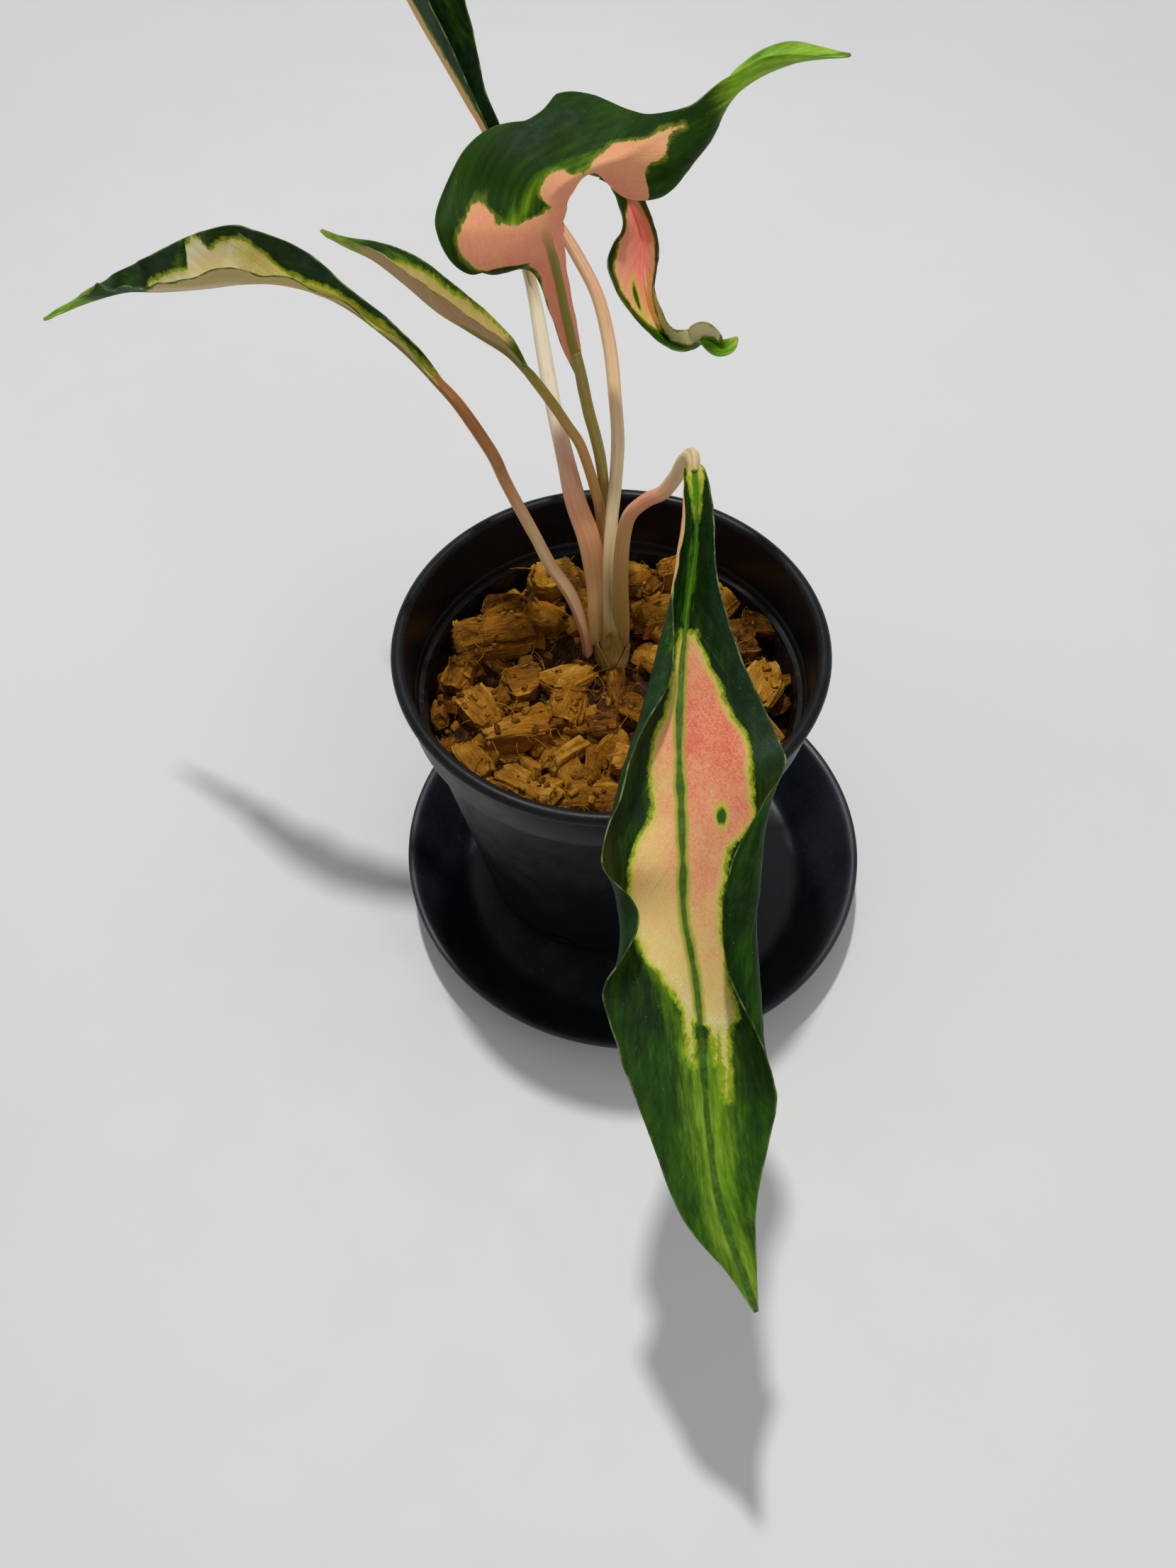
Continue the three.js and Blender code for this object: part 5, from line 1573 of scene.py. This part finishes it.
def bed_height(x, y, share):
    """Height of the bed's uneven top, which sinks towards the wall."""
    lumps = noise.noise(Vector((x * 0.24, y * 0.24, 4.0)))
    crumble = noise.noise(Vector((x * 0.8, y * 0.8, 8.0)))
    grit = noise.noise(Vector((x * 2.2, y * 2.2, 12.0)))
    rough = (1.6 * abs(lumps) + 0.9 * crumble + 0.3 * grit - 0.4) * (1 - share**12)
    sunk = BED_SINK * max(0.0, (share - BED_SINK_FROM) / (1 - BED_SINK_FROM)) ** 1.5
    return husk_height(x, y) + rough - BED_BELOW - sunk


def bed_part():
    """The husk below the chips: an uneven top, with a wall and a foot inside the pot."""
    angles = np.linspace(0, 2 * np.pi, BED_SEGMENTS, endpoint=False)
    points = [(0.0, 0.0, HUSK_FOOT)]
    for rise, inset in ((0, HUSK_FOOT_INSET), (HUSK_FOOT_ROUND, 0)):
        radius = inner_radius(HUSK_FOOT + rise) - inset
        points += [(radius * math.cos(a), radius * math.sin(a), HUSK_FOOT + rise) for a in angles]
    for step in range(BED_RINGS, 0, -1):
        share = (step / BED_RINGS) ** 0.9
        radius = inner_radius(HUSK_TOP) * share
        for a in angles:
            x, y = radius * math.cos(a), radius * math.sin(a)
            points.append((x, y, bed_height(x, y, share)))
    points.append((0.0, 0.0, husk_height(0, 0)))
    foot, top = [0] * BED_SEGMENTS, [len(points) - 1] * BED_SEGMENTS
    return points, join_rings([foot, *even_rings(BED_RINGS + 2, BED_SEGMENTS, 1), top])


def make_bed(part):
    """The bed as a piece."""
    mesh = new_mesh("bed", *part)
    add_vectors(mesh, "chip_place", part[0])
    add_values(mesh, "chip_tone", [0.0] * len(part[0]))
    piece = link_object("husk_bed", mesh, [bed_material()])
    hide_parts("husk_fill")


def chip_material():
    """Coconut husk: tan to orange-brown, with lengthwise fibres, and painted shade where the chip's relief
    lies low.
    """
    made = Finish("husk_chip")
    place = made.vector("chip_place")
    tone = made.number("chip_tone")
    fibres = made.noise(made.scaled(place, 0.12, 1.0, 1.0), 2.3, 4, 0.65, 0.4)
    strands = made.noise(made.scaled(place, 0.07, 1.0, 1.0), 6.5, 2, 0.6)
    clouds = made.noise(place, 0.22, 4, 0.6)
    mixed = made.maths("MULTIPLY_ADD", fibres, 0.6, made.maths("MULTIPLY", clouds, 0.4))
    mixed = made.maths("MULTIPLY_ADD", made.maths("SUBTRACT", tone, 0.5), 0.36, mixed)
    # Painted shade: points lying low in the chip's relief are darkened
    mixed = made.maths("MULTIPLY_ADD", made.number("chip_low"), -0.22, mixed)
    colour = made.ramp(mixed, [
        (0.2, (40, 20, 1)), (0.34, (98, 56, 4)), (0.48, (154, 96, 12)), (0.63, (192, 132, 34)),
        (0.8, (216, 170, 76)),
    ])
    colour = made.mix(made.span(strands, 0.56, 0.74, 0.0, 0.6), colour, (220, 178, 96))
    colour = made.mix(made.span(strands, 0.4, 0.22, 0.0, 0.6), colour, (58, 32, 10))
    rust = made.maths("MULTIPLY", made.span(made.noise(place, 0.35, 2), 0.5, 0.7), 0.45)
    colour = made.mix(rust, colour, (156, 94, 24))
    normal = made.bump(fibres, 0.55, 0.9)
    normal = made.bump(strands, 0.3, 0.9, normal)
    return made.done(colour, made.span(clouds, 0.3, 0.7, 0.72, 0.9), normal, Specular_IOR_Level=0.12)


def bed_material():
    """Husk seen between the chips, in dark colours that paint the shade of the gaps between them."""
    made = Finish("husk_bed")
    place = made.vector("chip_place")
    lumps = made.noise(place, 0.35, 5, 0.65)
    strands = made.noise(made.scaled(place, 1.0, 0.25, 1.0), 1.4, 3, 0.6)
    mixed = made.maths("MULTIPLY_ADD", lumps, 0.6, made.maths("MULTIPLY", strands, 0.4))
    # Dark browns: painted shade of the gaps between the chips
    colour = made.ramp(mixed, [
        (0.32, (20, 10, 3)), (0.5, (58, 34, 10)), (0.66, (104, 66, 24)), (0.8, (140, 96, 44)),
    ])
    normal = made.bump(mixed, 0.9, 1.0)
    return made.done(colour, made.span(lumps, 0.3, 0.7, 0.75, 0.92), normal, Specular_IOR_Level=0.2)


def make_pot():
    """Nursery pot turned from its profile, with drain slots through the foot of its wall."""
    points, rings = turned_rings(POT_PROFILE, TURNED_SEGMENTS)
    heights = [ring_height for _, ring_height in POT_PROFILE]
    outer_high = heights.index(DRAIN_SLOT_TOP)
    inner_high = heights.index(DRAIN_SLOT_TOP, outer_high + 1)
    outer_low, inner_low = outer_high - 1, inner_high + 1
    spacing = TURNED_SEGMENTS // DRAIN_SLOTS
    middle = spacing // 2
    in_slot = {middle + offset for offset in range(-SLOT_SEGMENTS // 2, SLOT_SEGMENTS // 2)}
    faces = join_rings(
        rings, lambda ring, column: ring in (outer_low, inner_high) and column % spacing in in_slot
    )
    a, b, c, d = (rings[index] for index in (outer_low, outer_high, inner_high, inner_low))
    for index in range(DRAIN_SLOTS):
        first = index * spacing + min(in_slot)
        last = index * spacing + max(in_slot) + 1
        for j in range(first, last):
            faces.append((b[j + 1], b[j], c[j], c[j + 1]))
            faces.append((a[j], a[j + 1], d[j + 1], d[j]))
        faces.append((b[first], a[first], d[first], c[first]))
        faces.append((a[last], b[last], c[last], d[last]))
    mesh = new_mesh("pot", points, faces)
    inside = []
    for index, ring in enumerate(rings):
        inside += [1.0 if index >= POT_INSIDE_FROM else 0.0] * len(set(ring))
    add_values(mesh, "inside", inside)
    add_vectors(mesh, "pot_place", points)
    piece = link_object("nursery_pot", mesh, [pot_material()])
    mesh.set_sharp_from_angle(angle=SHARP_ANGLE)
    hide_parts("pot")


def pot_material():
    """Black moulded plastic, satin, with faint drag lines and husk dust inside."""
    made = Finish("pot_black")
    place = made.vector("pot_place")
    height = made.node("SeparateXYZ", (place,)).outputs[2]
    clouds = made.noise(place, 0.06, 4, 0.6)
    drag = made.noise(made.scaled(place, 1.0, 1.0, 0.04), 0.9, 3, 0.6)
    colour = made.ramp(clouds, [(0.3, (11, 12, 14)), (0.7, (20, 22, 24))])
    colour = made.mix(made.span(drag, 0.55, 0.8, 0.0, 0.35), colour, (38, 41, 42))
    dust = made.noise(place, 0.32, 5, 0.7)
    low = made.span(height, 103.0, 88.0)
    settled = made.maths("ADD", dust, made.maths("MULTIPLY_ADD", low, 0.42, -0.48))
    shown = made.maths("MULTIPLY", made.span(settled, 0.4, 0.62, 0.0, 0.4), made.number("inside"))
    colour = made.mix(shown, colour, (92, 66, 34))
    specks = made.span(made.cells(place, 0.5), 0.1, 0.03, 0.0, 0.35)
    colour = made.mix(specks, colour, (112, 108, 98))
    roughness = made.maths("ADD", made.span(clouds, 0.3, 0.7, 0.33, 0.46), made.maths("MULTIPLY", shown, 0.4))
    peel = made.noise(place, 1.8, 2, 0.5)
    normal = made.bump(peel, 0.06, 0.5)
    normal = made.bump(drag, 0.05, 0.4, normal)
    return made.done(colour, roughness, normal, Specular_IOR_Level=0.24)


def make_saucer():
    """Round saucer turned from its profile."""
    points, rings = turned_rings(SAUCER_PROFILE, TURNED_SEGMENTS)
    mesh = new_mesh("saucer", points, join_rings(rings), offset=Vector((0, 0, 0)))
    add_vectors(mesh, "pot_place", points)
    piece = link_object("drip_saucer", mesh, [saucer_material()])
    mesh.set_sharp_from_angle(angle=SHARP_ANGLE)
    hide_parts("saucer")


def saucer_material():
    """Blue-black moulded plastic with fine turning marks and a little dust."""
    made = Finish("saucer_black")
    place = made.vector("pot_place")
    radius = made.node("VectorMath", (made.scaled(place, 1, 1, 0),), operation="LENGTH").outputs["Value"]
    clouds = made.noise(place, 0.05, 4, 0.6)
    colour = made.ramp(clouds, [(0.3, (15, 19, 25)), (0.7, (26, 31, 38))])
    dust = made.noise(place, 0.5, 5, 0.7)
    colour = made.mix(made.span(dust, 0.55, 0.75, 0.0, 0.18), colour, (96, 94, 88))
    rings = made.noise(made.node("CombineXYZ", (radius, 0.0, 0.0)).outputs[0], 3.2, 2, 0.6)
    grain = made.noise(place, 2.2, 2, 0.5)
    normal = made.bump(rings, 0.05, 0.5)
    normal = made.bump(grain, 0.06, 0.5, normal)
    return made.done(colour, made.span(clouds, 0.3, 0.7, 0.3, 0.42), normal, Specular_IOR_Level=0.5)


# Studio
FLOOR_SIZE = 8.0
FLOOR_DROP = 0.00005
WORLD_LIGHT = 0.36
LIGHTS = [
    {"name": "key", "at": (-0.128, 0.505, 1.84), "size": 0.1, "power": 17.6},
    {"name": "fill", "at": (0.9, -0.9, 1.3), "size": 1.0, "power": 3.0},
]
AIM = (0.0, 0.0, 0.12)
WORLD_COLOUR = (0.96, 0.98, 1.0, 1.0)


def make_stage():
    """Pale floor, soft studio light and an even pale surround."""
    half = FLOOR_SIZE / 2
    mesh = bpy.data.meshes.new("floor")
    corners = [(x * half, y * half, -FLOOR_DROP) for x, y in ((-1, -1), (1, -1), (1, 1), (-1, 1))]
    mesh.from_pydata(corners, [], [(0, 1, 2, 3)])
    floor = bpy.data.objects.new("floor", mesh)
    bpy.context.scene.collection.objects.link(floor)
    made = Finish("floor_pale")
    where = made.node("TexCoord").outputs["Object"]
    tint = made.ramp(made.noise(where, 3.0, 3), [(0.3, (226, 226, 225)), (0.7, (231, 231, 229))])
    mesh.materials.append(made.done(tint, made.span(made.noise(where, 40.0, 3), 0.3, 0.7, 0.55, 0.65)))
    for light in LIGHTS:
        data = bpy.data.lights.new(light["name"], "AREA")
        data.shape = "DISK"
        data.size = light["size"]
        data.energy = light["power"]
        lamp = bpy.data.objects.new(light["name"], data)
        bpy.context.scene.collection.objects.link(lamp)
        lamp.location = light["at"]
        lamp.rotation_euler = (Vector(AIM) - Vector(light["at"])).to_track_quat("-Z", "Y").to_euler()
    world = bpy.data.worlds.new("surround")
    world.use_nodes = True
    background = world.node_tree.nodes["Background"]
    background.inputs["Color"].default_value = WORLD_COLOUR
    background.inputs["Strength"].default_value = WORLD_LIGHT
    bpy.context.scene.world = world


def make_camera():
    """The photograph's viewpoint."""
    data = bpy.data.cameras.new("camera")
    data.sensor_width = SENSOR_MM
    data.lens = SENSOR_MM * FOCAL_PIXELS / FRAME_HEIGHT_PIXELS
    data.clip_start = CLIP_START
    camera = bpy.data.objects.new("camera", data)
    bpy.context.scene.collection.objects.link(camera)
    pitch, roll = math.radians(CAMERA_PITCH), math.radians(CAMERA_ROLL)
    forward = Vector((0, math.cos(pitch), -math.sin(pitch)))
    right = Vector((1, 0, 0))
    up = right.cross(forward)
    leaning = Matrix((
        right * math.cos(roll) + up * math.sin(roll),
        up * math.cos(roll) - right * math.sin(roll),
        -forward,
    )).transposed()
    camera.matrix_world = Matrix.Translation(Vector(CAMERA_AT) * MM) @ leaning.to_4x4()
    bpy.context.scene.camera = camera


make_camera()
make_stage()
make_saucer()
make_pot()
make_husk()
make_cane()
for number, leaf in enumerate(BLADES):
    make_stalk(leaf, number)
    make_blade(leaf, number)
